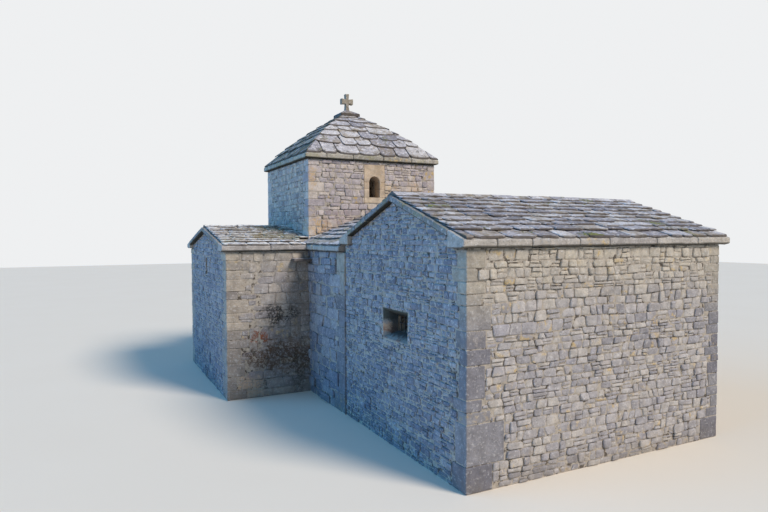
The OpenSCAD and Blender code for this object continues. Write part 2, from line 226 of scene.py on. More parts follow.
class Finish(Graph):
    """A material whose colour, roughness and bump are made of layers on object coordinates."""

    def __init__(self, name):
        self.material = bpy.data.materials.new(name)
        self.material.use_nodes = True
        super().__init__(self.material.node_tree)
        self.tree.nodes.clear()
        self.where = self.add("ShaderNodeTexCoord", out="Object")
        self.tone = self.add("ShaderNodeAttribute", {"attribute_name": "tone"}, out="Fac")
        self.warmth = self.add("ShaderNodeAttribute", {"attribute_name": "warmth"}, out="Fac")
        self.colour = None

    def lumps(self, size, detail=4.0, rough=0.55, stretch=(1, 1, 1)):
        """Soft noise whose lumps measure about size metres, or size times stretch along each axis."""
        scale = [1 / (size * s) for s in stretch]
        place = self.add("ShaderNodeMapping", {}, {"Vector": self.where, "Scale": scale})
        return self.add("ShaderNodeTexNoise", {}, {"Vector": place, "Scale": 1.0, "Detail": detail,
                                                   "Roughness": rough})

    def ramp(self, factor, *codes):
        """A ramp of evenly spaced colours."""
        last = len(codes) - 1
        stops = [(i / last, tint(code)) for i, code in enumerate(codes)]
        return self.add("ShaderNodeValToRGB", {"stops": stops}, {0: factor})

    def coat(self, mask, code):
        """Lays a colour over what is there, where mask is 1."""
        self.colour = self.blend(mask, self.colour, tint(code))

    def shade(self, amount, size):
        """Darkens the colour in soft lumps."""
        level = self.lumps(size).between(0.3, 0.7) * amount
        self.colour = self.blend(level, self.colour, (0.25, 0.24, 0.24, 1), "MULTIPLY")

    def facing_up(self):
        """1 where the surface faces straight up, and -1 where it faces down."""
        normal = self.add("ShaderNodeNewGeometry", out="Normal")
        return self.add("ShaderNodeSeparateXYZ", {}, {0: normal}, out="Z")

    def place(self, axis):
        """Metres along the object's X, Y or Z."""
        return self.add("ShaderNodeSeparateXYZ", {}, {0: self.where}, out=axis)

    def patch(self, along, up, half_along, half_up):
        """1 inside a ragged oval patch on a wall that faces front, and 0 outside it."""
        a = (self.place("X") - along) / half_along
        b = (self.place("Z") - up) / half_up
        ragged = (self.lumps(0.16, detail=6, rough=0.65) - 0.5) * 2.6
        return 1 - ((a * a + b * b).root() + ragged).between(0.55, 1.15)

    def specks(self, strength):
        """Pale crusts and dark pits, a finger's width across."""
        crust = self.lumps(0.05, detail=6, rough=0.7)
        self.coat(crust.between(0.52, 0.68) * strength, "#d3d0ce")
        pit = self.lumps(0.022, detail=5, rough=0.65)
        self.coat(pit.between(0.54, 0.68) * strength, "#5c5854")

    def spots(self, size):
        """1 in soft spots of about that size."""
        return self.lumps(size, detail=3).between(0.5, 0.62)

    def moss_and_shade_below(self, strength):
        """Painted shade, with a little dark moss, where the stone faces down."""
        self.coat((1 - self.facing_up()).between(1.15, 1.5) * strength, "#2b281b")

    def stain(self, stains):
        """Mottled patches, each as (along X, up, half width, half height, colour, strength)."""
        mottle = self.lumps(0.045, detail=6, rough=0.7).between(0.38, 0.56)
        for along, up, half_along, half_up, code, strength in stains:
            self.coat(self.patch(along, up, half_along, half_up) * mottle * strength, code)

    def done(self, roughness, bump, distance):
        """Closes the material with a bump of that height in metres."""
        normal = self.add("ShaderNodeBump", {}, {"Strength": 1.0, "Distance": distance, "Height": bump})
        values = {"Base Color": self.colour, "Roughness": roughness, "Normal": normal}
        surface = self.add("ShaderNodeBsdfPrincipled", {}, values)
        self.add("ShaderNodeOutputMaterial", {}, {"Surface": surface})
        return self.material


def limestone(name, codes, ochre, lichen, streaks, top=None, stains=(), under=0.0, moss=0.0, damp=0.0,
              pit=0.014):
    """Weathered limestone. Each stone has a tone of its own under grain, ochre, lichen, rain streaks and listed
    patches, which are stains and in places painted shade.

    Stones near the height top are warmer. Under is painted shade, with a little moss, on what faces down, moss
    greens it in patches, damp makes the foot of the wall darker and bluer, and pit is the depth of its pits in
    metres. The rest are strengths from 0 to 1.
    """
    f = Finish(name)
    grain = f.lumps(0.035, detail=6, rough=0.65)
    cloud = f.lumps(0.45)
    f.colour = f.ramp(f.tone * 0.7 + cloud * 0.5 - 0.10, *codes)
    if top:
        f.coat(f.place("Z").between(top - 1.2, top - 0.1) * 0.55, "#d3c6ab")
    f.shade(0.40, 0.14)
    rust = f.lumps(0.10, detail=5, rough=0.6)
    f.coat(f.warmth.between(0.70, 0.90) * rust.between(0.46, 0.62) * ochre * 0.5, "#b8a27a")
    f.coat(f.warmth.between(0.86, 0.93) * rust.between(0.52, 0.62) * ochre, "#c6a55c")
    f.specks(lichen)
    if moss:
        f.coat(f.lumps(0.35, detail=6, rough=0.65).between(0.50, 0.60) * moss, "#8d8a48")
    rain = f.lumps(0.25, detail=4, stretch=(0.5, 0.5, 5.0))
    f.coat(rain.between(0.50, 0.75) * streaks, "#5d5a57")
    f.stain(stains)
    # Darker and bluer towards the foot of the wall
    if damp:
        f.coat((1 - f.place("Z").between(0.3, 2.2)) * cloud.between(0.30, 0.6) * damp, "#555b70")
    f.coat((1 - f.place("Z").between(0.0, 0.45)) * cloud.between(0.35, 0.6) * 0.4, "#6f675c")
    # Painted shade, with a little moss, on what faces down
    if under:
        f.moss_and_shade_below(under)
    pits = f.lumps(0.012, detail=4, rough=0.7)
    bump = grain * 0.6 + pits * 0.3 + f.lumps(0.10) * 0.9
    return f.done(0.9 - grain * 0.12, bump, pit)


def window_limestone(name):
    """The lining of the hall's window: painted shade above and deep inside, and cream (partly painted sunlight) and
    red-brown low down.
    """
    f = Finish(name)
    grain = f.lumps(0.03, detail=6, rough=0.65)
    f.colour = f.ramp(grain, "#8d8a88", "#a09c96", "#b0a9a0")
    f.shade(0.4, 0.08)
    lump = f.lumps(0.09, detail=5, rough=0.6)
    up = f.place("Z") + (lump - 0.5) * 0.25
    # Cream low on the lining, partly the stone's colour and partly painted sunlight on the lower reveal
    cream_and_painted_sunlight = up.between(WINDOW_Z - 0.18, WINDOW_Z - 0.12) * (1 - up.between(WINDOW_Z - 0.05, WINDOW_Z + 0.02))
    f.coat(cream_and_painted_sunlight, "#c4a084")
    f.coat(lump.between(0.52, 0.60) * (1 - up.between(WINDOW_Z - 0.08, WINDOW_Z)) * 0.6, "#9a6048")
    # Painted shade under the head of the opening, dark olive
    f.coat(up.between(WINDOW_Z, WINDOW_Z + 0.10) * 0.9, "#3f4036")
    # Painted shade: the splay turns black where it reaches into the unlit inside
    depth = f.place("X") + lump * 0.12
    f.coat(depth.between(WINDOW_DARK, WINDOW_DARK + 0.16) * 0.92, "#191712")
    return f.done(0.9 - grain * 0.1, grain + lump * 0.8, 0.008)


SLAB_TONES = ("#827f85", "#a19da4", "#bdb9be", "#d2ced1", "#e5e1e0", "#bfb5aa")


def roof_limestone(name, damp=0.0, pale=0.0, stains=()):
    """Slabs with grey-white crusts, brown and orange lichen, and moss where the wet stays.

    Damp slabs are darker and mossy all over, pale ones have more of the white crust, and stains lie in patches.
    """
    f = Finish(name)
    grain = f.lumps(0.04, detail=6, rough=0.65)
    cloud = f.lumps(0.6)
    f.colour = f.ramp(f.tone * 0.8 + cloud * 0.4 - 0.10, *SLAB_TONES)
    f.shade(0.42, 0.03)
    f.shade(0.35, 0.12)
    crust = f.lumps(0.09, detail=4)
    f.coat(crust.between(0.53, 0.64) * 0.55, "#ece8e8")
    brown = f.lumps(0.30, detail=6, rough=0.62) + f.warmth * 0.16
    f.coat(brown.between(0.58, 0.70) * 0.6, "#8f806c")
    f.coat(brown.between(0.72, 0.82) * 0.5, "#b09a6a")
    black = f.lumps(0.15, detail=5, rough=0.6)
    f.coat(black.between(0.55, 0.66) * 0.55, "#524e4b")
    moss = f.lumps(0.8, detail=7, rough=0.68) + f.lumps(0.05, detail=2) * 0.14
    green = moss.between(0.66, 0.72) * f.facing_up().between(0.3, 0.8)
    f.coat(green, "#6c6f38")
    f.coat(green * f.spots(0.03), "#8a8a4c")
    if pale:
        f.coat(f.lumps(0.10, detail=5, rough=0.6).between(0.40, 0.56) * pale, "#f3ede5")
    f.stain(stains)
    if damp:
        f.coat(f.lumps(0.25, detail=6, rough=0.65).between(0.42, 0.56) * damp, "#4a4c38")
        f.coat(f.spots(0.09) * damp * 0.8, "#5d6a33")
    # Painted shade on the steep edges of the slabs, for the dark line under each course
    f.coat((1 - f.facing_up()).between(0.20, 0.50) * 0.85, "#4a4138")
    pits = f.lumps(0.014, detail=4, rough=0.7)
    bump = grain * 0.7 + pits * 0.3 + f.lumps(0.12) * 1.1 + green * 0.8
    return f.done(0.92 - grain * 0.1, bump, 0.012)


def lime_mortar(name, codes, crevice_shade=0.0, stains=(), distance=0.018):
    """Sandy lime between and behind the stones, and on the vaults and inner walls."""
    f = Finish(name)
    sand = f.lumps(0.012, detail=5, rough=0.7)
    cloud = f.lumps(0.5, detail=5)
    f.colour = f.ramp(cloud * 0.9 + sand * 0.35 - 0.12, *codes)
    f.shade(0.35, 0.07)
    f.specks(0.4)
    damp = f.lumps(0.35, detail=4, stretch=(0.6, 0.6, 3.0))
    f.coat(damp.between(0.56, 0.75) * 0.35, "#77706a")
    # Painted shade: dark streaks in the mortar for the shadow in deep crevices between the stones
    crevice_shade_lumps = f.lumps(0.11, detail=5, rough=0.65)
    f.coat(crevice_shade_lumps.between(0.53, 0.60) * crevice_shade, "#4d443b")
    f.stain(stains)
    bump = sand * 0.5 + f.lumps(0.06, detail=5) * 0.8
    return f.done(0.94 - sand * 0.06, bump, distance)


def flagstone(name):
    """Worn flags: a joint grid, a tone for each flag and a polish in broad lumps."""
    f = Finish(name)
    values = {"Vector": f.where, "Scale": 1.0, "Mortar Size": 0.012, "Brick Width": 0.62, "Row Height": 0.42,
              "Color1": tint("#8b857c"), "Color2": tint("#a29c92"), "Mortar": tint("#5f5a52")}
    flags = f.add("ShaderNodeTexBrick", {"offset": 0.5}, values)
    f.colour = flags
    f.shade(0.4, 0.05)
    f.shade(0.3, 0.3)
    polish = f.lumps(0.7)
    bump = 1 - flags.out("Fac") + f.lumps(0.05) * 0.3
    return f.done(0.75 - polish * 0.25, bump, 0.008)


def window_iron(name):
    """Black iron with rust in the pits."""
    f = Finish(name)
    pits = f.lumps(0.012, detail=5)
    f.colour = f.ramp(pits, "#1d1b1a", "#2b2624", "#4a3226")
    f.coat(f.lumps(0.05).between(0.55, 0.7) * 0.8, "#5c3a28")
    return f.done(0.55 + pits * 0.3, pits, 0.002)


def pale_floor(name):
    """The studio's floor."""
    f = Finish(name)
    cloud = f.lumps(3.0)
    f.colour = f.ramp(cloud, "#e6dbca", "#eae0d0")
    return f.done(0.9 - cloud * 0.05, cloud, 0.001)


RUBBLE_TONES = ("#928e92", "#a09c9f", "#aea9aa", "#b9b3b1", "#c6beb5", "#a8a4a9", "#b4afb1")
# Patches on the arm's front wall. Most are stains; the two at -2.30, near the neck, are partly painted shade of the
# inner corner.
ARM_STAINS_AND_SHADE = ((-2.60, 0.95, 0.95, 0.50, "#6f543d", 0.8), (-3.00, 0.95, 0.85, 0.34, "#5b4838", 0.75),
              (-3.60, 0.30, 0.45, 0.30, "#cdae90", 0.7), (-2.30, 0.55, 0.30, 0.60, "#4a4234", 0.6),
              (-2.30, 2.30, 0.35, 1.20, "#7b6f63", 0.5), (-3.29, 1.43, 0.24, 0.15, "#8a5238", 1.0),
              (-2.92, 1.93, 0.36, 0.25, "#322f2c", 0.95), (-2.42, 1.98, 0.16, 0.15, "#3b3530", 0.8),
              (-3.73, 1.12, 0.24, 0.12, "#38302e", 0.9))
TOWER_STAINS = ((-1.55, 4.00, 0.35, 0.30, "#c9a468", 0.7), (-1.72, 5.25, 0.12, 0.30, "#c8a878", 0.7),
                (0.45, 4.95, 0.30, 0.30, "#cdb083", 0.6), (0.60, 4.45, 0.40, 0.15, "#bf9558", 0.6),
                (1.20, 5.00, 0.25, 0.25, "#c7a36c", 0.5), (-0.90, 4.25, 0.50, 0.25, "#a99696", 0.6))
ARM_ROOF_STAINS = ((-2.95, 3.80, 0.40, 0.09, "#94813f", 0.8), (-2.40, 3.78, 0.35, 0.09, "#6c7038", 0.8),
                   (-2.45, 3.98, 0.55, 0.10, "#56602f", 0.8), (-3.30, 3.95, 0.40, 0.08, "#7d6f52", 0.6),
                   (-3.65, 3.75, 0.25, 0.10, "#8b8160", 0.5))
finish = {
    "rubble": limestone("rubble_limestone", RUBBLE_TONES, ochre=0.6, lichen=0.6, streaks=0.10, top=3.6),
    "shaded": limestone("shaded_rubble", ("#727583", "#828593", "#91929d", "#a2a1a9", "#b5b1b1", "#7c7f8d"),
                        ochre=0.12, lichen=1.0, streaks=0.3, damp=0.5, pit=0.024),
    "tower_side": limestone("shaded_tower_limestone", ("#8e8481", "#aca09b", "#c2b5ac", "#d8c8b5", "#b5a8a2"),
                            ochre=0.2, lichen=1.0, streaks=0.3),
    "tower": limestone("tower_limestone", ("#a3989b", "#b6abac", "#c8bcba", "#d6c8ba", "#c9bcbd"),
                       ochre=0.8, lichen=0.6, streaks=0.1, stains=TOWER_STAINS),
    "ashlar": limestone("stained_and_shaded_ashlar", ("#958f90", "#a39c99", "#b1a8a0", "#c0b4a3"),
                        ochre=0.4, lichen=0.6, streaks=0.2, top=3.9, stains=ARM_STAINS_AND_SHADE),
    "quoin": limestone("quoin_limestone", ("#716f77", "#7f7d84", "#8d8b90", "#9b9899"),
                       ochre=0.25, lichen=0.45, streaks=0.2, top=3.3, pit=0.020),
    "arm_quoin": limestone("arm_quoin_limestone", ("#8f8886", "#a0978f", "#b0a598", "#bfb19e"),
                           ochre=0.3, lichen=0.6, streaks=0.2, top=3.9, pit=0.020),
    "edge": limestone("edge_limestone", ("#a8a29e", "#b5aea8", "#c2bab0", "#cdc4b6"),
                      ochre=0.7, lichen=0.8, streaks=0.25, under=0.85, pit=0.022),
    "coping": limestone("coping_limestone", ("#77797e", "#86878a", "#959493", "#a29e98"),
                        ochre=0.5, lichen=0.9, streaks=0.3, under=1.0, moss=0.35, pit=0.022),
    "cornice": limestone("cornice_limestone", ("#a39c8f", "#b1aa9c", "#beb6a7", "#c8bfb0"),
                         ochre=0.9, lichen=0.8, streaks=0.3, under=1.0, moss=0.3, pit=0.022),
    "dressed": limestone("dressed_limestone", ("#c0a78a", "#cfb89c", "#dac5aa", "#dfcfb8"),
                         ochre=0.2, lichen=0.3, streaks=0.1, pit=0.008),
    "reveal": window_limestone("window_limestone"),
    "cross": limestone("cross_limestone", ("#8a8371", "#a39885", "#b3a28e"), ochre=0.5, lichen=0.7, streaks=0.3),
    "slab": roof_limestone("roof_slab_limestone"),
    "damp_slab": roof_limestone("damp_slab_limestone", damp=0.75),
    "pale_slab": roof_limestone("pale_slab_limestone", pale=0.9, stains=ARM_ROOF_STAINS),
    "mortar": lime_mortar("lime_mortar", ("#ab9f90", "#b9ae9f", "#c5bbae"), crevice_shade=0.9),
    "stained": lime_mortar("stained_and_shaded_mortar", ("#918b86", "#9d9791", "#aaa39b"), crevice_shade=0.6, stains=ARM_STAINS_AND_SHADE),
    "plaster": lime_mortar("vault_lime", ("#a59d8f", "#b9b1a2", "#c8c0b1"), distance=0.006),
    "flags": flagstone("worn_flags"),
    "iron": window_iron("window_iron"),
}


# Geometry trees


def new_tree(name, inputs):
    """A geometry tree with the named inputs, and its graph."""
    tree = bpy.data.node_groups.new(name, "GeometryNodeTree")
    tree.interface.new_socket("Geometry", in_out="OUTPUT", socket_type="NodeSocketGeometry")
    tree.interface.new_socket("Geometry", in_out="INPUT", socket_type="NodeSocketGeometry")
    for label, value in inputs.items():
        socket = tree.interface.new_socket(label, in_out="INPUT", socket_type="NodeSocketFloat")
        socket.default_value = value
    tree.interface.new_socket("Material", in_out="INPUT", socket_type="NodeSocketMaterial")
    graph = Graph(tree)
    return tree, graph, graph.add("NodeGroupInput")


def moved(g, shape, offset, selection=None):
    """A shape with its points, or those of a selection, moved."""
    values = {"Geometry": shape, "Offset": offset}
    if selection:
        values["Selection"] = selection
    return g.add("GeometryNodeSetPosition", {}, values)


def times(g, vector, factor):
    """A vector made longer or shorter."""
    return g.add("ShaderNodeVectorMath", {"operation": "SCALE"}, {"Vector": vector, "Scale": factor})


def weathered(g, given, shape):
    """Pushes every point a little, with lumps of the given size, and closes the tree."""
    place = g.add("GeometryNodeInputPosition")
    values = {"Vector": place, "W": given.out("Seed"), "Scale": 1 / given.out("Lump Size"), "Detail": 2.0}
    push = g.add("ShaderNodeTexNoise", {"noise_dimensions": "4D"}, values, out="Color")
    centred = g.add("ShaderNodeVectorMath", {"operation": "SUBTRACT"}, {0: push, 1: (0.5, 0.5, 0.5)})
    full_swing = 2.5  # the noise itself stays well within its range
    shape = moved(g, shape, times(g, centred, given.out("Unevenness") * full_swing))
    shape = g.add("GeometryNodeRealizeInstances", {}, {"Geometry": shape})
    shape = g.add("GeometryNodeSetMaterial", {}, {"Geometry": shape, "Material": given.out("Material")})
    g.add("NodeGroupOutput", {}, {"Geometry": shape})


def raised_stones():
    """Raises each flat outline into a closed stone with rounded edges and a crowned face.

    The point attribute rise is the way from the back of the stone to its face.
    """
    tree, g, given = new_tree("raised_stones", {
        "Rounding": 0.012, "Crown": 0.004, "Unevenness": 0.008, "Lump Size": 0.15, "Seed": 0.0})
    outlines = given.out("Geometry")
    rise = g.add("GeometryNodeInputNamedAttribute", {"data_type": "FLOAT_VECTOR"}, {"Name": "rise"})
    thick = g.add("ShaderNodeVectorMath", {"operation": "LENGTH"}, {0: rise}, out="Value")
    edge = given.out("Rounding").at_most(thick * 0.6) / thick
    across = g.add("GeometryNodeInputMeshFaceArea").root()

    def lifted(shape, top, share, scale=None):
        """Extrudes the top faces by a share of their rise and shrinks them."""
        values = {"Mesh": shape, "Offset Scale": 0.0, "Individual": True}
        if top:
            values["Selection"] = top
        shape = g.add("GeometryNodeExtrudeMesh", {"mode": "FACES"}, values)
        top = shape.out("Top")
        shape = moved(g, shape, times(g, rise, share), top)
        if scale:
            values = {"Geometry": shape, "Selection": top, "Scale": scale}
            shape = g.add("GeometryNodeScaleElements", {"domain": "FACE"}, values)
        return shape, top

    shape, top = lifted(outlines, None, 1 - edge)
    shape, top = lifted(shape, top, edge, (1 - given.out("Rounding") * 2.4 / across).at_least(0.5))
    shape, top = lifted(shape, top, given.out("Crown") / thick, 0.62)
    backs = g.add("GeometryNodeFlipFaces", {}, {"Mesh": outlines})
    joined = g.add("GeometryNodeJoinGeometry")
    for part in (backs, shape):
        tree.links.new(part.socket, joined.socket.node.inputs[0])
    closed = g.add("GeometryNodeMergeByDistance", {}, {"Geometry": joined, "Distance": 0.00005})
    weathered(g, given, closed)
    return tree


def worn_blocks():
    """Gives bevelled blocks the lumps and dips of worn stone."""
    tree, g, given = new_tree("worn_blocks", {"Unevenness": 0.006, "Lump Size": 0.2, "Seed": 0.0})
    weathered(g, given, given.out("Geometry"))
    return tree


RAISED = raised_stones()
WORN = worn_blocks()


def finished(name, mesh, tree, material, slot, bevel=0.0, replaces=(), **sizes):
    """Runs a tree on a mesh, keeps the result as a plain mesh and gives it to the frame."""
    piece = bpy.data.objects.new(name, mesh)
    bpy.context.scene.collection.objects.link(piece)
    if bevel:
        edges = piece.modifiers.new("edges", "BEVEL")
        edges.width = bevel
        edges.segments = 2
        edges.limit_method = "ANGLE"
        edges.angle_limit = math.radians(30)
        edges.use_clamp_overlap = True
    stone = piece.modifiers.new("stone", "NODES")
    stone.node_group = tree
    sockets = {s.name: s.identifier for s in tree.interface.items_tree if s.in_out == "INPUT"}
    for key, value in sizes.items():
        stone[sockets[key.replace("_", " ").title()]] = float(value)
    stone[sockets["Material"]] = material
    bpy.context.view_layer.update()
    result = bpy.data.meshes.new_from_object(piece.evaluated_get(bpy.context.evaluated_depsgraph_get()))
    piece.modifiers.clear()
    piece.data = result
    result.name = name
    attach(piece, "root")
    if replaces:
        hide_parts(*replaces)


# Outlines on a wall or a slope, as lists of (along, up) points


def clipped(outline, a, b, c):
    """The part of a convex outline where a * u + b * v <= c."""
    kept = []
    for (u0, v0), (u1, v1) in zip(outline, outline[1:] + outline[:1]):
        d0 = a * u0 + b * v0 - c
        d1 = a * u1 + b * v1 - c
        if d0 <= 0:
            kept.append((u0, v0))
        if d0 * d1 < 0:
            t = d0 / (d0 - d1)
            kept.append((u0 + t * (u1 - u0), v0 + t * (v1 - v0)))
    return kept


def area(outline):
    turns = zip(outline, outline[1:] + outline[:1])
    return sum(u0 * v1 - u1 * v0 for (u0, v0), (u1, v1) in turns) / 2


def middle(outline):
    return sum(u for u, v in outline) / len(outline), sum(v for u, v in outline) / len(outline)


def clear_of(outline, keep_out):
    """The largest part of an outline beyond one side of a rectangle (u0, v0, u1, v1)."""
    if not outline:
        return outline
    u0, v0, u1, v1 = keep_out
    us, vs = zip(*outline)
    if max(us) <= u0 or min(us) >= u1 or max(vs) <= v0 or min(vs) >= v1:
        return outline
    sides = ((1, 0, u0), (-1, 0, -u1), (0, 1, v0), (0, -1, -v1))
    return max((clipped(outline, *side) for side in sides), key=area)


def clear_of_arch(outline, centre, radius):
    """Cuts an outline along the line that touches the arch nearest to it."""
    if not outline:
        return outline
    u, v = middle(outline)
    away = math.hypot(u - centre[0], v - centre[1])
    a = (u - centre[0]) / away
    b = (v - centre[1]) / away
    return clipped(outline, -a, -b, -(a * centre[0] + b * centre[1] + radius))


def inset(outline, joint):
    """A convex outline with every side moved in by half a joint."""
    result = outline
    for (u0, v0), (u1, v1) in zip(outline, outline[1:] + outline[:1]):
        length = math.hypot(u1 - u0, v1 - v0)
        if length > 1e-6:
            a = (v1 - v0) / length
            b = (u0 - u1) / length
            result = clipped(result, a, b, a * u0 + b * v0 - joint / 2)
    return result


def chipped(outline, chip, rng):
    """Takes a small chip off each corner."""
    result = []
    last = len(outline) - 1
    for i, (u, v) in enumerate(outline):
        for other in (outline[i - 1], outline[0 if i == last else i + 1]):
            length = math.hypot(other[0] - u, other[1] - v)
            share = min(0.4, chip * rng.uniform(0.4, 1.4) / max(length, 1e-6))
            result.append((u + (other[0] - u) * share, v + (other[1] - v) * share))
    return result


# Walls


class Plan:
    """Flat outlines that a tree raises, with the rise and the tones of their points."""

    def __init__(self):
        self.points = []
        self.faces = []
        self.rise = []
        self.tone = []
        self.warmth = []

    def add(self, points, rises, tone, warmth):
        first = len(self.points)
        self.points.extend(points)
        self.faces.append(range(first, first + len(points)))
        self.rise.extend(rises)
        self.tone.extend([tone] * len(points))
        self.warmth.extend([warmth] * len(points))

    def mesh(self, name):
        mesh = bpy.data.meshes.new(name)
        mesh.from_pydata(self.points, [], self.faces)
        rise = mesh.attributes.new("rise", "FLOAT_VECTOR", "POINT")
        rise.data.foreach_set("vector", [c for r in self.rise for c in r])
        set_tones(mesh, self.tone, self.warmth)
        return mesh


def set_tones(mesh, tone, warmth):
    for label, values in (("tone", tone), ("warmth", warmth)):
        mesh.attributes.new(label, "FLOAT", "POINT").data.foreach_set("value", values)


class Face:
    """An outer wall face. Its origin is its lower left corner, seen from outside."""

    def __init__(self, origin, out, width, top, foot=0.0):
        self.origin = Vector(origin)
        self.out = out
        self.along = UP.cross(out)
        self.width = width
        self.top = top
        self.foot = foot
        self.keep_out = []
        self.shapers = []

    def at(self, u, v, out=0.0):
        """A point on the face, or outside it."""
        return self.origin + self.along * u + UP * v + self.out * out

    def gable(self, block, cope):
        """Lets the face run up to the roof bed between the ends of the eaves courses."""
        mid = self.width / 2
        peak = block.ridge - cope
        self.top = peak
        self.shapers.append(lambda o: clipped(o, -block.slope, 1, peak - block.slope * mid))
        self.shapers.append(lambda o: clipped(o, block.slope, 1, peak + block.slope * mid))
        self.keep_out.append((-1, block.top, BAND_IN, peak))
        self.keep_out.append((self.width - BAND_IN, block.top, self.width + 1, peak))

    def over_roof(self, block):
        """Keeps the stones above a roof whose ridge meets the middle of the face."""
        mid = self.width / 2
        peak = block.ridge + SLAB_T - 0.03

        def above(outline):
            if not outline:
                return outline
            side = 1 if middle(outline)[0] > mid else -1
            return clipped(outline, -side * block.slope, -1, -peak - side * block.slope * mid)

        self.shapers.append(above)


JOINT = 0.010
SMALLEST = 0.0030  # square metres
SINK = 0.012  # from the wall's face to the back of a stone
TILT = 0.10  # rise of a stone's face over its run, at most
CHIP = 0.026


def lay_rubble(plan, face, course, stretch, seed, relief=(0.004, 0.046), split=0.25, wave=0.3, joint=JOINT):
    """Covers a face with roughly coursed stones, trimmed at its openings, corners and roof lines."""
    rng = random.Random(seed)
    beds = [face.foot]
    while beds[-1] < face.top:
        beds.append(beds[-1] + course * rng.uniform(0.7, 1.35))

    def bed(i, u):
        """Height of a bed joint, which waves along the wall."""
        if i == 0:
            return beds[0] + 0.006
        return beds[i] + course * wave * noise.noise(Vector((u * 0.9, i * 3.7, seed * 1.7)))

    for i in range(len(beds) - 1):
        u = -rng.uniform(0, course * stretch)
        lean = 0.0
        while u < face.width:
            w = course * stretch * rng.uniform(0.55, 1.55)
            next_lean = course * rng.uniform(-0.16, 0.16)
            corners = [(u - lean, bed(i, u)), (u + w - next_lean, bed(i, u + w)),
                       (u + w + next_lean, bed(i + 1, u + w)), (u + lean, bed(i + 1, u))]
            stones = [corners]
            if rng.random() < split:
                share = rng.uniform(0.38, 0.62)
                mid_left = lerp(corners[0], corners[3], share)
                mid_right = lerp(corners[1], corners[2], share + rng.uniform(-0.1, 0.1))
                stones = [[corners[0], corners[1], mid_right, mid_left],
                          [mid_left, mid_right, corners[2], corners[3]]]
            for stone in stones:
                stone = clipped(clipped(stone, -1, 0, 0), 1, 0, face.width)
                stone = clipped(clipped(stone, 0, 1, face.top), 0, -1, -face.foot - 0.004)
                for keep_out in face.keep_out:
                    stone = clear_of(stone, keep_out)
                for shape in face.shapers:
                    stone = shape(stone)
                stone = inset(stone, joint * rng.uniform(0.6, 2.2))
                if len(stone) < 3 or area(stone) < SMALLEST:
                    continue
                stone = chipped(stone, min(CHIP, 0.15 * math.sqrt(area(stone))), rng)
                proud = relief[0] + (relief[1] - relief[0]) * rng.random() ** 1.8
                mid = middle(stone)
                tilt = [rng.uniform(-TILT, TILT), rng.uniform(-TILT, TILT)]
                points = [face.at(a, b, -SINK) for a, b in stone]
                rises = [SINK + proud + tilt[0] * (a - mid[0]) + tilt[1] * (b - mid[1]) for a, b in stone]
                plan.add(points, [face.out * max(0.004, r) for r in rises], rng.random(), rng.random())
            u += w
            lean = next_lean


def lerp(a, b, t):
    return (a[0] + (b[0] - a[0]) * t, a[1] + (b[1] - a[1]) * t)


# Cut blocks


class Blocks:
    """Closed blocks, each between two rings of points, with a tone of its own."""

    def __init__(self, seed):
        self.rng = random.Random(seed)
        self.points = []
        self.faces = []
        self.tone = []
        self.warmth = []

    def add(self, start, end, pitch=0.16):
        """A block from one ring of points to the other. A long one has more rings, so that it can be uneven."""
        start = [Vector(p) for p in start]
        end = [Vector(p) for p in end]
        span = max((b - a).length for a, b in zip(start, end))
        steps = max(1, round(span / pitch))
        first = len(self.points)
        n = len(start)
        for k in range(steps + 1):
            self.points.extend(a.lerp(b, k / steps) for a, b in zip(start, end))
        normal = sum(((start[i] - start[0]).cross(start[i + 1] - start[0]) for i in range(1, n - 1)), Vector())
        turn = 1 if normal.dot(end[0] - start[0]) < 0 else -1
        rings = [[first + k * n + i for i in range(n)][::turn] for k in range(steps + 1)]
        self.faces.append(rings[0])
        self.faces.append(rings[-1][::-1])
        for near, far in zip(rings, rings[1:]):
            for i in range(n):
                j = (i + 1) % n
                self.faces.append([near[j], near[i], far[i], far[j]])
        made = len(self.points) - first
        self.tone.extend([self.rng.random()] * made)
        self.warmth.extend([self.rng.random()] * made)

    def box(self, corner, size):
        """An upright box from its lowest corner."""
        (x, y, z), (a, b, c) = corner, size
        ring = [(x, y, z), (x + a, y, z), (x + a, y + b, z), (x, y + b, z)]
        self.add(ring, [(u, v, z + c) for u, v, foot in ring])

    def mesh(self, name):
        mesh = bpy.data.meshes.new(name)
        mesh.from_pydata(self.points, [], self.faces)
        set_tones(mesh, self.tone, self.warmth)
        return mesh


def lengths(total, shortest, longest, rng, gap=0.0):
    """Cuts a total into pieces of random length, as a list of (start, end) with a gap at each end."""
    cuts = [0.0]
    while total - cuts[-1] > longest:
        cuts.append(cuts[-1] + rng.uniform(shortest, longest))
    if total - cuts[-1] < shortest * 0.6 and len(cuts) > 1:
        cuts.pop()
    cuts.append(total)
    return [(a + gap, b - gap) for a, b in zip(cuts, cuts[1:])]


def lay_quoins(blocks, corner, along_a, along_b, foot, top, size, heights=(0.16, 0.38), proud=0.012, stones=()):
    """Stones that turn a corner, long on one face and short on the other in turn. Returns their extents.

    Stones with given sizes, as (height, reach along a, reach along b), come first from the foot up.
    """
    rng = blocks.rng
    corner = Vector(corner)
    half_joint = 0.005
    extents = []
    z = foot
    for height, a, b in stones:
        extents.append((z, z + height, a, b))
        z += height
    for i, (z0, z1) in enumerate(lengths(top - 2 * half_joint - z, *heights, rng)):
        long_side = size[0] * rng.uniform(0.75, 1.2)
        short_side = size[1] * rng.uniform(0.75, 1.2)
        a, b = (long_side, short_side) if i % 2 == 0 else (short_side, long_side)
        extents.append((z + z0, z + z1, a, b))
    for z0, z1, a, b in extents:
        out = proud * rng.uniform(0.5, 1.3)
        ring = [corner + along_a * x + along_b * y for x, y in ((-out, -out), (a, -out), (a, b), (-out, b))]
        blocks.add([p + UP * (z0 + half_joint) for p in ring], [p + UP * (z1 - half_joint) for p in ring], 0.2)
    return extents


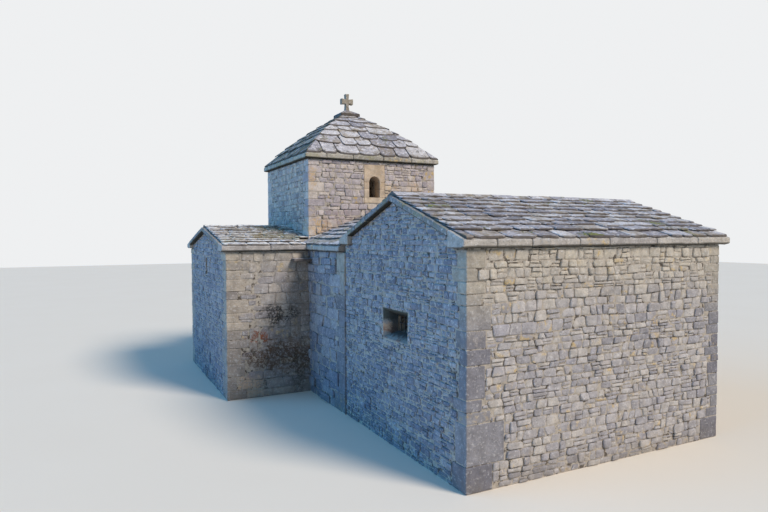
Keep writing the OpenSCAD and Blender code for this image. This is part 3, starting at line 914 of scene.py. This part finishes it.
def reserve(face, extents, which, end):
    """Keeps the rubble of a face clear of the quoins at its left or right end."""
    for low_z, high_z, a, b in extents:
        reach = (a, b)[which] + 0.004
        if end == "left":
            face.keep_out.append((-1, low_z, reach, high_z))
        else:
            face.keep_out.append((face.width - reach, low_z, face.width + 1, high_z))


def turn_corners(blocks, corners, foot, top, **laying):
    """Lays quoins up each corner and keeps the rubble of its two faces clear of them.

    A corner is a face, the end of it that is there, the face that it meets, and then any stones with given sizes.
    """
    for face, end, other, *stones in corners:
        place, way, other_end = (0, 1, "right") if end == "left" else (face.width, -1, "left")
        extents = lay_quoins(blocks, face.at(place, 0), face.along * way, other.along * -way, foot, top,
                             stones=stones, **laying)
        reserve(face, extents, 0, end)
        reserve(other, extents, 1, other_end)


# Walls of the hall

hall_front = Face((HALL_X[0], HALL_Y[0], 0), FRONT, HALL_X[1] - HALL_X[0], HALL.top)
hall_left = Face((HALL_X[0], HALL_Y[1], 0), LEFT, 2 * HALL.half, HALL.top)
hall_right = Face((HALL_X[1], HALL_Y[0], 0), RIGHT, 2 * HALL.half, HALL.top)
hall_back = Face((HALL_X[1], HALL_Y[1], 0), BACK, HALL_X[1] - NECK.half, HALL.top)
hall_left.gable(HALL, COPING_T)
hall_right.gable(HALL, 0.0)
hall_left.keep_out.append((HALL.half - WINDOW[0] / 2, WINDOW_Z - WINDOW[1] / 2,
                           HALL.half + WINDOW[0] / 2, WINDOW_Z + WINDOW[1] / 2))
door_out = DOOR_W / 2 + DOOR_JAMB
door_spring = DOOR_TOP - DOOR_W / 2
hall_right.keep_out.append((HALL.half - door_out, -1, HALL.half + door_out, door_spring))
hall_right.shapers.append(lambda o: clear_of_arch(o, (HALL.half, door_spring), door_out + 0.005))

# Walls of the neck and the arms

neck_left = Face((-NECK.half, -SIDE.half, 0), LEFT, -SIDE.half - HALL_Y[1], NECK.top)
neck_right = Face((NECK.half, HALL_Y[1], 0), RIGHT, -SIDE.half - HALL_Y[1], NECK.top)
arm_width = ARM_END - NECK.half
left_front = Face((-ARM_END, -SIDE.half, 0), FRONT, arm_width, SIDE.top)
left_end = Face((-ARM_END, SIDE.half, 0), LEFT, 2 * SIDE.half, SIDE.top)
left_back = Face((-NECK.half, SIDE.half, 0), BACK, arm_width, SIDE.top)
right_front = Face((NECK.half, -SIDE.half, 0), FRONT, arm_width, SIDE.top)
right_end = Face((ARM_END, -SIDE.half, 0), RIGHT, 2 * SIDE.half, SIDE.top)
right_back = Face((ARM_END, SIDE.half, 0), BACK, arm_width, SIDE.top)
back_left = Face((-NECK.half, ARM_END, 0), LEFT, ARM_END - SIDE.half, NECK.top)
back_end = Face((NECK.half, ARM_END, 0), BACK, 2 * NECK.half, NECK.top)
back_right = Face((NECK.half, SIDE.half, 0), RIGHT, ARM_END - SIDE.half, NECK.top)
for end, block in ((left_end, SIDE), (right_end, SIDE), (back_end, NECK)):
    end.gable(block, COPING_T)
    end.keep_out.append((block.half - LOOP_W / 2, LOOP_SILL, block.half + LOOP_W / 2, LOOP_SILL + LOOP_H))

# Walls of the tower, above the roofs of the arms

TOWER_FOOT = 3.4
tower_front, tower_right, tower_back, tower_left = (
    Face((out - UP.cross(out)) * TOWER.half, out, 2 * TOWER.half, TOWER.top, TOWER_FOOT)
    for out in (FRONT, RIGHT, BACK, LEFT))
for wall, block in ((tower_front, NECK), (tower_back, NECK), (tower_left, SIDE), (tower_right, SIDE)):
    wall.over_roof(block)
slit_half = SLIT_W / 2 + SLIT_JAMB
for wall in (tower_front, tower_back):
    wall.keep_out.append((TOWER.half - slit_half, SLIT_SILL - SLIT_JAMB,
                          TOWER.half + slit_half, SLIT_SILL + SLIT_H + SLIT_HEAD))

# Quoins, and the rubble between them

# The stones of the hall's near corner from the foot up: height, reach along its front and along its gable
NEAR_CORNER = ((0.40, 0.46, 0.36), (0.62, 0.68, 0.30), (0.18, 0.43, 0.22), (0.18, 0.27, 0.34), (0.50, 0.33, 0.20),
               (0.24, 0.43, 0.18), (0.27, 0.34, 0.27), (0.37, 0.43, 0.18), (0.17, 0.26, 0.24))
QUOIN_FOOT = 0.004
hall_quoins = Blocks(11)
turn_corners(hall_quoins, ((hall_front, "left", hall_left, *NEAR_CORNER),
                           (hall_front, "right", hall_right, NEAR_CORNER[0]),
                           (hall_back, "left", hall_right)),
             QUOIN_FOOT, HALL.top, size=(0.34, 0.22), heights=(0.13, 0.24))

neck_quoins = Blocks(12)
extents = lay_quoins(neck_quoins, (-NECK.half, HALL_Y[1], 0), BACK, RIGHT, QUOIN_FOOT, NECK.top, size=(0.55, 0.3),
                     heights=(0.25, 0.55))
reserve(neck_left, extents, 0, "right")

arm_quoins = Blocks(13)
turn_corners(arm_quoins, ((left_front, "left", left_end), (left_back, "right", left_end),
                          (right_front, "right", right_end), (right_back, "left", right_end),
                          (back_end, "right", back_left), (back_end, "left", back_right)),
             QUOIN_FOOT, SIDE.top, size=(0.46, 0.28))

tower_quoins = Blocks(14)
turn_corners(tower_quoins, ((tower_front, "left", tower_left), (tower_front, "right", tower_right),
                            (tower_back, "left", tower_right), (tower_back, "right", tower_left)),
             NECK.top + 0.2, TOWER.top, size=(0.40, 0.24), heights=(0.15, 0.28), proud=0.010)


def rubble_piece(name, faces, material, seed, **laying):
    """The rubble of some faces as one piece."""
    plan = Plan()
    for i, face in enumerate(faces):
        lay_rubble(plan, face, seed=seed + i, **laying)
    finished(name, plan.mesh(name), RAISED, finish[material], "rubble_stone", rounding=0.009, crown=0.004,
             unevenness=0.008, lump_size=0.09, seed=seed)


def worn_piece(name, blocks, material, slot, **sizes):
    """Cut blocks as one piece."""
    finished(name, blocks.mesh(name), WORN, finish[material], slot, **sizes)


rubble_piece("hall_rubble", (hall_front, hall_right, hall_back), "rubble", 21, course=0.132, stretch=1.5,
             relief=(0.004, 0.036))
rubble_piece("hall_left_rubble", (hall_left,), "shaded", 31, course=0.090, stretch=1.9, relief=(0.004, 0.028))
rubble_piece("neck_stones", (neck_left, neck_right), "shaded", 41, course=0.21, stretch=1.5, split=0.15)
rubble_piece("left_arm_ashlar", (left_front,), "ashlar", 51, course=0.23, stretch=1.6, split=0.15, wave=0.12,
             joint=0.008, relief=(0.004, 0.014))
rubble_piece("left_arm_gable_rubble", (left_end,), "shaded", 66, course=0.115, stretch=1.6, relief=(0.003, 0.022))
rubble_piece("arm_rubble", (left_back, right_front, right_end, right_back), "rubble", 61, course=0.17, stretch=1.6)
rubble_piece("back_arm_rubble", (back_left, back_end, back_right), "rubble", 71, course=0.17, stretch=1.6)
rubble_piece("tower_rubble", (tower_front, tower_right, tower_back), "tower", 81, course=0.150, stretch=1.4,
             split=0.2, relief=(0.004, 0.030))
rubble_piece("tower_left_rubble", (tower_left,), "tower_side", 84, course=0.135, stretch=1.4, relief=(0.004, 0.022))

for name, blocks, material in (("hall_quoins", hall_quoins, "quoin"), ("neck_quoins", neck_quoins, "quoin"),
                               ("arm_quoins", arm_quoins, "arm_quoin"), ("tower_quoins", tower_quoins, "tower")):
    worn_piece(name, blocks, material, "rubble_stone", bevel=0.016, unevenness=0.011, lump_size=0.18, seed=5)


# Eaves courses and copings


def sides_of(along):
    """The two ways down from a ridge."""
    return (FRONT, BACK) if along.x else (LEFT, RIGHT)


def section_run(blocks, start, along, length, section, out):
    """Cuts a straight course, whose section is a list of (out, up), into stones."""
    for ends in lengths(length, 0.55, 1.15, blocks.rng, 0.005):
        blocks.add(*([start + along * u + out * a + UP * b for a, b in section] for u in ends))


def eaves_section(block):
    """From the course's seat in the wall out over its nose and back up the roof bed, as (out, up)."""
    s = block.seat
    e = block.half + BAND_OUT
    return [(s, block.top + 0.001), (block.half, block.top + 0.001), (e, block.top + (BAND_H - BAND_NOSE) / 2),
            (e, block.top + BAND_H), (s, block.bed(s) - 0.002)]


def coping_run(blocks, start, along, depth, block):
    """Raking stones up both slopes of a gable, with a mitre at the peak."""
    for out in sides_of(along):
        for a, b in lengths(block.seat, 0.4, 0.7, blocks.rng, 0.004):
            corners = ((a, -COPING_T), (b, -COPING_T), (b, 0), (a, 0))
            ring = [start + out * s + UP * (block.bed(s) + lift - 0.001) for s, lift in corners]
            blocks.add(ring, [p + along * depth for p in ring], 0.2)


def edge_piece(node, blocks, seed, material="edge"):
    """The stones that stand for a node of the construction."""
    worn_piece(node + "_stones", blocks, material, "edge_stone", bevel=0.022, replaces=[node], unevenness=0.010,
               lump_size=0.22, seed=seed)


arm_start = NECK.half + BAND_OUT
arm_reach = high("right_arm_eaves").x - arm_start
for node, start, along, length, block, cut, seed in (
        ("hall_eaves", Vector((low("hall_eaves").x, HALL_MID, 0)), RIGHT,
         high("hall_eaves").x - low("hall_eaves").x, HALL, 91, 1),
        ("neck_eaves", Vector((0, low("neck_eaves").y, 0)), BACK,
         high("neck_eaves").y - low("neck_eaves").y, NECK, 92, 2),
        ("back_arm_eaves", Vector((0, low("back_arm_eaves").y, 0)), BACK,
         high("back_arm_eaves").y - low("back_arm_eaves").y, NECK, 93, 3),
        ("left_arm_eaves", LEFT * arm_start, LEFT, arm_reach, SIDE, 94, 94),
        ("right_arm_eaves", RIGHT * arm_start, RIGHT, arm_reach, SIDE, 95, 95)):
    blocks = Blocks(cut)
    for out in sides_of(along):
        section_run(blocks, start, along, length, eaves_section(block), out)
    edge_piece(node, blocks, seed)

for node, out, middle_of, block, cut, seed in (
        ("hall_coping", LEFT, Vector((0, HALL_MID, 0)), HALL, 96, 6),
        ("left_arm_coping", LEFT, Vector(), SIDE, 97, 97),
        ("right_arm_coping", RIGHT, Vector(), SIDE, 98, 98),
        ("back_arm_coping", BACK, Vector(), NECK, 99, 99)):
    blocks = Blocks(cut)
    lowest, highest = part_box(node)
    depth = min(highest.x - lowest.x, highest.y - lowest.y)
    reach = max(abs(lowest.dot(out)), abs(highest.dot(out)))
    coping_run(blocks, out * reach + middle_of, -out, depth, block)
    edge_piece(node, blocks, seed, "coping")


def cornice(blocks):
    """The course under the tower's roof: four runs of stones with mitred ends."""
    e = TOWER.half + BAND_OUT
    for out in (FRONT, RIGHT, BACK, LEFT):
        along = UP.cross(out)
        for ends in lengths(2 * e, 0.5, 1.0, blocks.rng, 0.004):
            blocks.add(*([along * max(-a, min(a, u - e)) + out * a + UP * b for a, b in eaves_section(TOWER)]
                         for u in ends))


blocks = Blocks(100)
cornice(blocks)
edge_piece("tower_cornice", blocks, 7, "cornice")


# Roof slabs

COURSE = 0.235
WAVE = 0.04  # of the lower edges along a course
STRAY = 0.09  # of one lower edge, towards the ridge
SLANT = 0.035
ROUND_OFF = (0.035, 0.075)
ON_COURSE = (0.048, 0.014)  # lift and swelling of a slab's lower edge over the course below it
ON_BED = (0.004, 0.026)  # the same in the lowest course
RIDGE_HALF = 0.17


class Slope:
    """One slope of a roof. Outlines on it are (along the ridge, away from the ridge)."""

    def __init__(self, start, along, out, length, block, trim=None):
        self.start = Vector(start)
        self.along = along
        self.out = out
        self.length = length
        self.block = block
        self.courses = round((block.half + LIP_OUT) / COURSE)
        self.trim = trim

    def at(self, u, s, lift):
        """A point at a height over the underside of the slabs."""
        place = self.start + self.along * u + self.out * s
        return Vector((place.x, place.y, self.block.under_slabs(s) + lift))


def lay_slabs(plan, slope, seed, widths):
    """Overlapping courses of rough slabs, each lifted at its lower edge by the course below it."""
    rng = random.Random(seed)
    reach = slope.block.half + LIP_OUT - 0.006
    step = reach / slope.courses
    for i in range(slope.courses):
        tail = reach - i * step
        head = max(0.012, tail - step * 2)  # under the whole of the next course
        u = -rng.uniform(0, widths[0])
        while u < slope.length:
            w = rng.uniform(*widths)
            if slope.length - u - w < widths[0] * 0.5:
                w = slope.length - u
            wave = WAVE * noise.noise(Vector((u * 1.1, i * 2.3, seed * 0.7)))
            drop = rng.uniform(0, STRAY) - wave if i else rng.uniform(0, 0.015)
            skew = rng.uniform(-SLANT, SLANT)
            lean = rng.uniform(-0.02, 0.02)
            low_edge = tail - drop
            round_off = rng.uniform(*ROUND_OFF)
            outline = [(u + 0.01, head), (u + lean, low_edge - round_off + skew),
                       (u + w * 0.14, low_edge + skew * 0.6), (u + w * rng.uniform(0.35, 0.65), low_edge + 0.008),
                       (u + w * 0.86, low_edge - skew), (u + w + lean, low_edge - round_off - skew),
                       (u + w - 0.01, head)]
            outline = [(min(max(a, 0.0), slope.length), min(b, reach)) for a, b in outline]
            if area(outline) < 0:
                outline = outline[::-1]
            if slope.trim:
                outline = slope.trim(outline)
            outline = inset(outline, JOINT * rng.uniform(0.5, 1.6)) if outline else outline
            u += w
            if len(outline) < 3 or area(outline) < 0.008:
                continue
            twist = rng.uniform(-0.02, 0.02)
            thick = rng.uniform(0.85, 1.12)
            lift, body = ON_COURSE if i else ON_BED
            points = []
            rises = []
            for a, b in outline:
                share = (b - head) / (tail - head)
                points.append(slope.at(a, b, lift * share + 0.002 + twist * (a - u + w / 2)))
                rises.append(UP * ((0.014 + body * share) * thick))
            if (points[1] - points[0]).cross(points[2] - points[1]).z < 0:
                points.reverse()
                rises.reverse()
            plan.add(points, rises, rng.random(), rng.random())


def ridge_stones(blocks, start, along, length, block, out):
    """Stones that cover the joint at a ridge, as a flat angle over both slopes."""
    for ends in lengths(length, 0.35, 0.65, blocks.rng, 0.006):
        h = RIDGE_HALF * blocks.rng.uniform(0.8, 1.15)
        drop = blocks.rng.uniform(0.0, 0.012)
        top = SLAB_T - drop - 0.004
        side = [(-h, block.bed(h) + 0.05), (h, block.bed(h) + 0.05), (h, block.bed(h) + top - 0.008),
                (0.03, block.ridge + top), (-0.03, block.ridge + top), (-h, block.bed(h) + top - 0.008)]
        blocks.add(*([start + along * u + out * a + UP * b for a, b in side] for u in ends))


def slab_piece(name, slopes, replaced, seed, material, widths=(0.26, 0.62)):
    """The slabs of some slopes as one piece."""
    plan = Plan()
    for i, slope in enumerate(slopes):
        lay_slabs(plan, slope, seed + i, widths)
    finished(name + "_slabs", plan.mesh(name), RAISED, finish[material], "roof_slab", replaces=replaced,
             rounding=0.014, crown=0.003, unevenness=0.009, lump_size=0.16, seed=seed)


def gabled_roof(node, start, along, length, block, seed, material="slab", trim=None, ridge=None, **laying):
    """Slabs on both slopes of a roof, and stones along its ridge or the (start, length) of it that is given."""
    sides = sides_of(along)
    slab_piece(node, [Slope(start, along, out, length, block, trim) for out in sides], [node], seed, material,
               **laying)
    blocks = Blocks(seed)
    ridge_start, ridge_length = ridge or (start, length)
    ridge_stones(blocks, ridge_start, along, ridge_length, block, sides[1])
    worn_piece(node + "_ridge", blocks, material, "roof_slab", bevel=0.014, unevenness=0.008, lump_size=0.2,
               seed=seed)


hall_long = high("hall_roof").x - low("hall_roof").x
gabled_roof("hall_roof", Vector((low("hall_roof").x, HALL_MID, 0)), RIGHT, hall_long, HALL, 110)

# The neck's slabs are laid from the hall's ridge and die into its back slope
valley_start = HALL_MID + (HALL.ridge - NECK.ridge) / HALL.slope
valley_rate = NECK.slope / HALL.slope
hall_edge = HALL_Y[1] + LIP_OUT
neck_start = HALL_MID


def meet_hall(outline):
    """Stops an outline at the valley, or past the foot of the valley at the hall's eaves."""
    if not outline:
        return outline
    s = middle(outline)[1]
    if valley_start + valley_rate * s < hall_edge:
        return clipped(outline, -1, valley_rate, neck_start - valley_start)
    return clipped(outline, -1, 0, neck_start - hall_edge)


gabled_roof("neck_roof", Vector((0, neck_start, 0)), BACK, -TOWER.half - neck_start, NECK, 120, trim=meet_hall,
            ridge=(Vector((0, valley_start, 0)), -TOWER.half - valley_start), widths=(0.4, 0.85))
gabled_roof("back_arm_roof", Vector((0, TOWER.half, 0)), BACK, high("back_arm_roof").y - TOWER.half, NECK, 130)


def meet_neck(outline):
    """Past the tower's corner the arm's slabs stop at the slabs of the neck."""
    if outline and middle(outline)[1] > TOWER.half:
        return clipped(outline, -1, 0, -(NECK.half + LIP_OUT - TOWER.half))
    return outline


arm_long = high("right_arm_roof").x - TOWER.half
for node, along, seed in (("left_arm_roof", LEFT, 140), ("right_arm_roof", RIGHT, 150)):
    gabled_roof(node, along * TOWER.half, along, arm_long, SIDE, seed, "pale_slab", meet_neck, widths=(0.26, 0.58))

tower_reach = TOWER.half + LIP_OUT


def hipped(outline):
    """Keeps an outline between the two hips of a four-sided roof."""
    return clipped(clipped(outline, -1, -1, -tower_reach), 1, -1, tower_reach)


tower_slopes = [Slope(UP.cross(out) * -tower_reach, UP.cross(out), out, 2 * tower_reach, TOWER, hipped)
                for out in (FRONT, RIGHT, BACK, LEFT)]
slab_piece("tower_roof", tower_slopes[:3], ["tower_roof"], 160, "slab", widths=(0.38, 0.80))
slab_piece("tower_roof_left", tower_slopes[3:], [], 163, "damp_slab", widths=(0.38, 0.80))


# Dressed stones of the tower's windows and the doorway


def arch_points(spring, radius, start, end, count):
    """Points on a round arch over the middle of a face, from one angle to another in degrees."""
    angles = [math.radians(start + (end - start) * i / (count - 1)) for i in range(count)]
    return [(radius * math.cos(a), spring + radius * math.sin(a)) for a in angles]


def dress(blocks, face, outline, deep):
    """A dressed stone, from an outline on a face that is measured from the face's middle."""
    ring = [face.at(face.width / 2 + u, v, -deep) for u, v in outline]
    blocks.add(ring, [p + face.out * (deep + DRESSED_OUT) for p in ring], 0.4)


def dressed_window(blocks, face):
    """A sill, two stones up each side and one head cut to a round arch."""
    half = SLIT_W / 2
    outer = half + SLIT_JAMB
    spring = SLIT_SILL + SLIT_H - half
    foot = SLIT_SILL - SLIT_JAMB
    top = SLIT_SILL + SLIT_H + SLIT_HEAD
    split = SLIT_SILL + (spring - SLIT_SILL) * 0.55
    outlines = [[(-outer, foot), (outer, foot), (outer, SLIT_SILL), (-outer, SLIT_SILL)]]
    for v0, v1 in ((SLIT_SILL + 0.003, split), (split + 0.004, spring)):
        outlines.append([(-outer, v0), (-half, v0), (-half, v1), (-outer, v1)])
        outlines.append([(half, v0), (outer, v0), (outer, v1), (half, v1)])
    outlines.append([(outer, spring + 0.004), (outer, top), (-outer, top), (-outer, spring + 0.004)]
                    + arch_points(spring, half, 180, 0, 11))
    for outline in outlines:
        dress(blocks, face, outline, 0.30)


def doorway(blocks, face):
    """Jamb stones and wedge-shaped arch stones round the doorway."""
    inner = DOOR_W / 2
    outer = inner + DOOR_JAMB
    deep = 0.32
    for side in (-1, 1):
        u0, u1 = sorted((side * inner, side * outer))
        for v0, v1 in lengths(door_spring - 0.004, 0.3, 0.55, blocks.rng):
            dress(blocks, face, [(u0, v0 + 0.007), (u1, v0 + 0.007), (u1, v1), (u0, v1)], deep)
    wedges = 11
    half_joint = 0.35  # degrees
    for i in range(wedges):
        a0 = 180 * i / wedges + half_joint
        a1 = 180 * (i + 1) / wedges - half_joint
        wedge = arch_points(door_spring, outer, a1, a0, 3) + arch_points(door_spring, inner, a0, a1, 3)
        dress(blocks, face, wedge, deep)


window_blocks = Blocks(170)
dressed_window(window_blocks, tower_front)
dressed_window(window_blocks, tower_back)
door_blocks = Blocks(171)
doorway(door_blocks, hall_right)
for name, blocks, node, seed in (("tower_window_stones", window_blocks, "tower_windows", 8),
                                 ("doorway_stones", door_blocks, "doorway_surround", 9)):
    worn_piece(name, blocks, "dressed", "dressed_stone", bevel=0.008, replaces=[node], unevenness=0.003,
               lump_size=0.2, seed=seed)

# The cross and its cap

CAP_TOP = TOWER.ridge + SLAB_T + CAP_T * 0.75


def cross():
    """A cross that widens towards its head, its foot and the ends of its arms."""
    blocks = Blocks(175)
    foot = CAP_TOP
    rise = high("roof_cross").z - 0.003 - foot
    end, shaft, arm, waist, half_t = 0.182, 0.060, 0.0825, 0.020, 0.068
    side = [(shaft, -0.05), (shaft - waist, rise / 2 - arm + waist), (end, rise / 2 - arm),
            (end, rise / 2 + arm), (shaft - waist, rise / 2 + arm - waist), (shaft, rise)]
    outline = side + [(-a, b) for a, b in reversed(side)]
    blocks.add([(a, half_t, foot + b) for a, b in outline], [(a, -half_t, foot + b) for a, b in outline])
    return blocks


def cap():
    """Four slabs that meet under the cross, with thick rims."""
    blocks = Blocks(176)
    half = high("roof_cross").x - 0.004
    surface = TOWER.under_slabs(half) + SLAB_T

    def ring(centre, rim):
        return [(0, 0, centre)] + [(x * half, y * half, rim) for x, y in ((-1, -1), (1, -1), (1, 1), (-1, 1))]

    sunk = 0.02
    under = ring(TOWER.ridge + SLAB_T, surface - sunk)
    over = ring(CAP_TOP, surface + CAP_T * 0.7)
    for i in range(1, 5):
        j = i % 4 + 1
        blocks.add([under[0], under[i], under[j]], [over[0], over[i], over[j]])
    return blocks


worn_piece("roof_cross_stone", cross(), "cross", "edge_stone", bevel=0.010, replaces=["roof_cross"],
           unevenness=0.004, lump_size=0.15, seed=13)
worn_piece("roof_cap_stones", cap(), "slab", "edge_stone", bevel=0.016, unevenness=0.010, lump_size=0.18, seed=14)

# The slab in the inner corner

blocks = Blocks(172)
corner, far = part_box("corner_drip_slab")
blocks.box(corner, far - corner)
worn_piece("drip_slab_stone", blocks, "slab", "roof_slab", bevel=0.018, replaces=["corner_drip_slab"],
           unevenness=0.010, lump_size=0.15, seed=10)


# Smooth reveals and bars of the hall's window


def window_reveal():
    """Four thin dressed stones that line the splay, each from its hidden face to the one that is seen."""
    blocks = Blocks(174)

    def corners(inward):
        return [[Vector((x, HALL_MID + a * (size[0] / 2 - inward), WINDOW_Z + b * (size[1] / 2 - inward)))
                 for a, b in ((-1, -1), (1, -1), (1, 1), (-1, 1))]
                for x, size in ((HALL_X[0], WINDOW), (HALL_X[0] + SPLAY, WINDOW_BARS))]

    hidden, seen = corners(0.002), corners(0.018)
    for i in range(4):
        j = (i + 1) % 4
        blocks.add(*([outer[i], outer[j], inner[j], inner[i]] for outer, inner in (hidden, seen)))
    return blocks


def window_bars():
    """Round upright bars and one crossbar, set in the stone behind the splay."""
    blocks = Blocks(173)
    radius = 0.010
    circle = [(math.cos(math.tau * i / 10) * radius, math.sin(math.tau * i / 10) * radius) for i in range(10)]
    x = HALL_X[0] + SPLAY + 3 * radius
    behind = x + 0.018
    half_w = WINDOW_BARS[0] / 2
    half_h = WINDOW_BARS[1] / 2
    held = 0.03  # in the stone, at each end
    bars = 4
    for i in range(bars):
        y = HALL_MID - half_w + 2 * half_w * (i + 0.5) / bars
        blocks.add(*([(x + a, y + b, z) for a, b in circle]
                     for z in (WINDOW_Z - half_h - held, WINDOW_Z + half_h + held)), 0.5)
    blocks.add(*([(behind + a, y, WINDOW_Z + b) for a, b in circle]
                 for y in (HALL_MID - half_w - held, HALL_MID + half_w + held)), 1.0)
    return blocks


worn_piece("window_reveal", window_reveal(), "reveal", "rubble_stone", bevel=0.003, unevenness=0.003, lump_size=0.1,
           seed=12)
worn_piece("window_bars", window_bars(), "iron", "rubble_stone", unevenness=0.001, lump_size=0.05, seed=1)

# Materials of the CAD nodes that stay in view

for name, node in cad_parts.items():
    if "vault" in name or "dome" in name:
        material = finish["plaster"]
    elif "floor" in name or "steps" in name:
        material = finish["flags"]
    elif name == "left_arm_walls":
        material = finish["stained"]
    else:
        material = finish["mortar"]
    if not node.material_slots:
        node.data.materials.append(material)
    for place in node.material_slots:
        place.material = material

# Floor, light and camera

FLOOR_REACH = 70.0
floor_mesh = bpy.data.meshes.new("pale_floor")
floor_mesh.from_pydata([(-FLOOR_REACH, -FLOOR_REACH, 0), (FLOOR_REACH, -FLOOR_REACH, 0),
                        (FLOOR_REACH, FLOOR_REACH, 0), (-FLOOR_REACH, FLOOR_REACH, 0)], [], [(0, 1, 2, 3)])
floor_mesh.materials.append(pale_floor("pale_floor"))
floor = bpy.data.objects.new("pale_floor", floor_mesh)
bpy.context.scene.collection.objects.link(floor)


def far_lamp(name, energy, spread, colour, tilt, turn):
    """A lamp far away, tilted from straight overhead towards the front and turned to the right, in degrees."""
    lamp = bpy.data.lights.new(name, "SUN")
    lamp.energy = energy
    lamp.angle = math.radians(spread)
    lamp.color = colour
    light = bpy.data.objects.new(name, lamp)
    light.rotation_euler = (math.radians(tilt), 0, math.radians(turn))
    bpy.context.scene.collection.objects.link(light)


# A warm lamp on the long front, and a cool one that with the world's fill lights the shaded gables
far_lamp("key_light", energy=3.1, spread=20, colour=(1.0, 0.91, 0.83), tilt=48, turn=30)
far_lamp("side_light", energy=1.9, spread=60, colour=(0.03, 0.42, 1.0), tilt=70, turn=-105)
FILL_COLOUR = (0.47, 0.70, 1.0, 1)
FILL_STRENGTH = 0.345
BACKDROP = (0.86, 0.87, 0.88, 1)
world = bpy.data.worlds.new("studio")
bpy.context.scene.world = world
world.use_nodes = True
world.node_tree.nodes.clear()
studio = Graph(world.node_tree)
seen = studio.add("ShaderNodeLightPath", out="Is Camera Ray")
fill = studio.add("ShaderNodeBackground", {}, {"Color": FILL_COLOUR, "Strength": FILL_STRENGTH})
shown = studio.add("ShaderNodeBackground", {}, {"Color": BACKDROP, "Strength": 1.0})
surface = studio.add("ShaderNodeMixShader", {}, {0: seen, 1: fill, 2: shown})
studio.add("ShaderNodeOutputWorld", {}, {"Surface": surface})

# The camera of the photograph, as it was fitted to the corners of the walls and roofs
CAMERA_PLACE = (-6.916, -16.24, 3.796)
YAW, PITCH, ROLL = (math.radians(a) for a in (26.567, 1.991, 0.227))
FOCAL_PIXELS = 597.4
FRAME_PIXELS = 768
SENSOR = 36.0
camera = bpy.data.objects.new("camera", bpy.data.cameras.new("camera"))
camera.data.sensor_width = SENSOR
camera.data.lens = SENSOR * FOCAL_PIXELS / FRAME_PIXELS
camera.data.clip_end = 300.0
look = Vector((math.sin(YAW) * math.cos(PITCH), math.cos(YAW) * math.cos(PITCH), -math.sin(PITCH)))
camera.matrix_world = (Matrix.Translation(CAMERA_PLACE) @ look.to_track_quat("-Z", "Y").to_matrix().to_4x4()
                       @ Matrix.Rotation(-ROLL, 4, "Z"))
bpy.context.scene.collection.objects.link(camera)
bpy.context.scene.camera = camera
bpy.context.scene.view_settings.view_transform = "Standard"
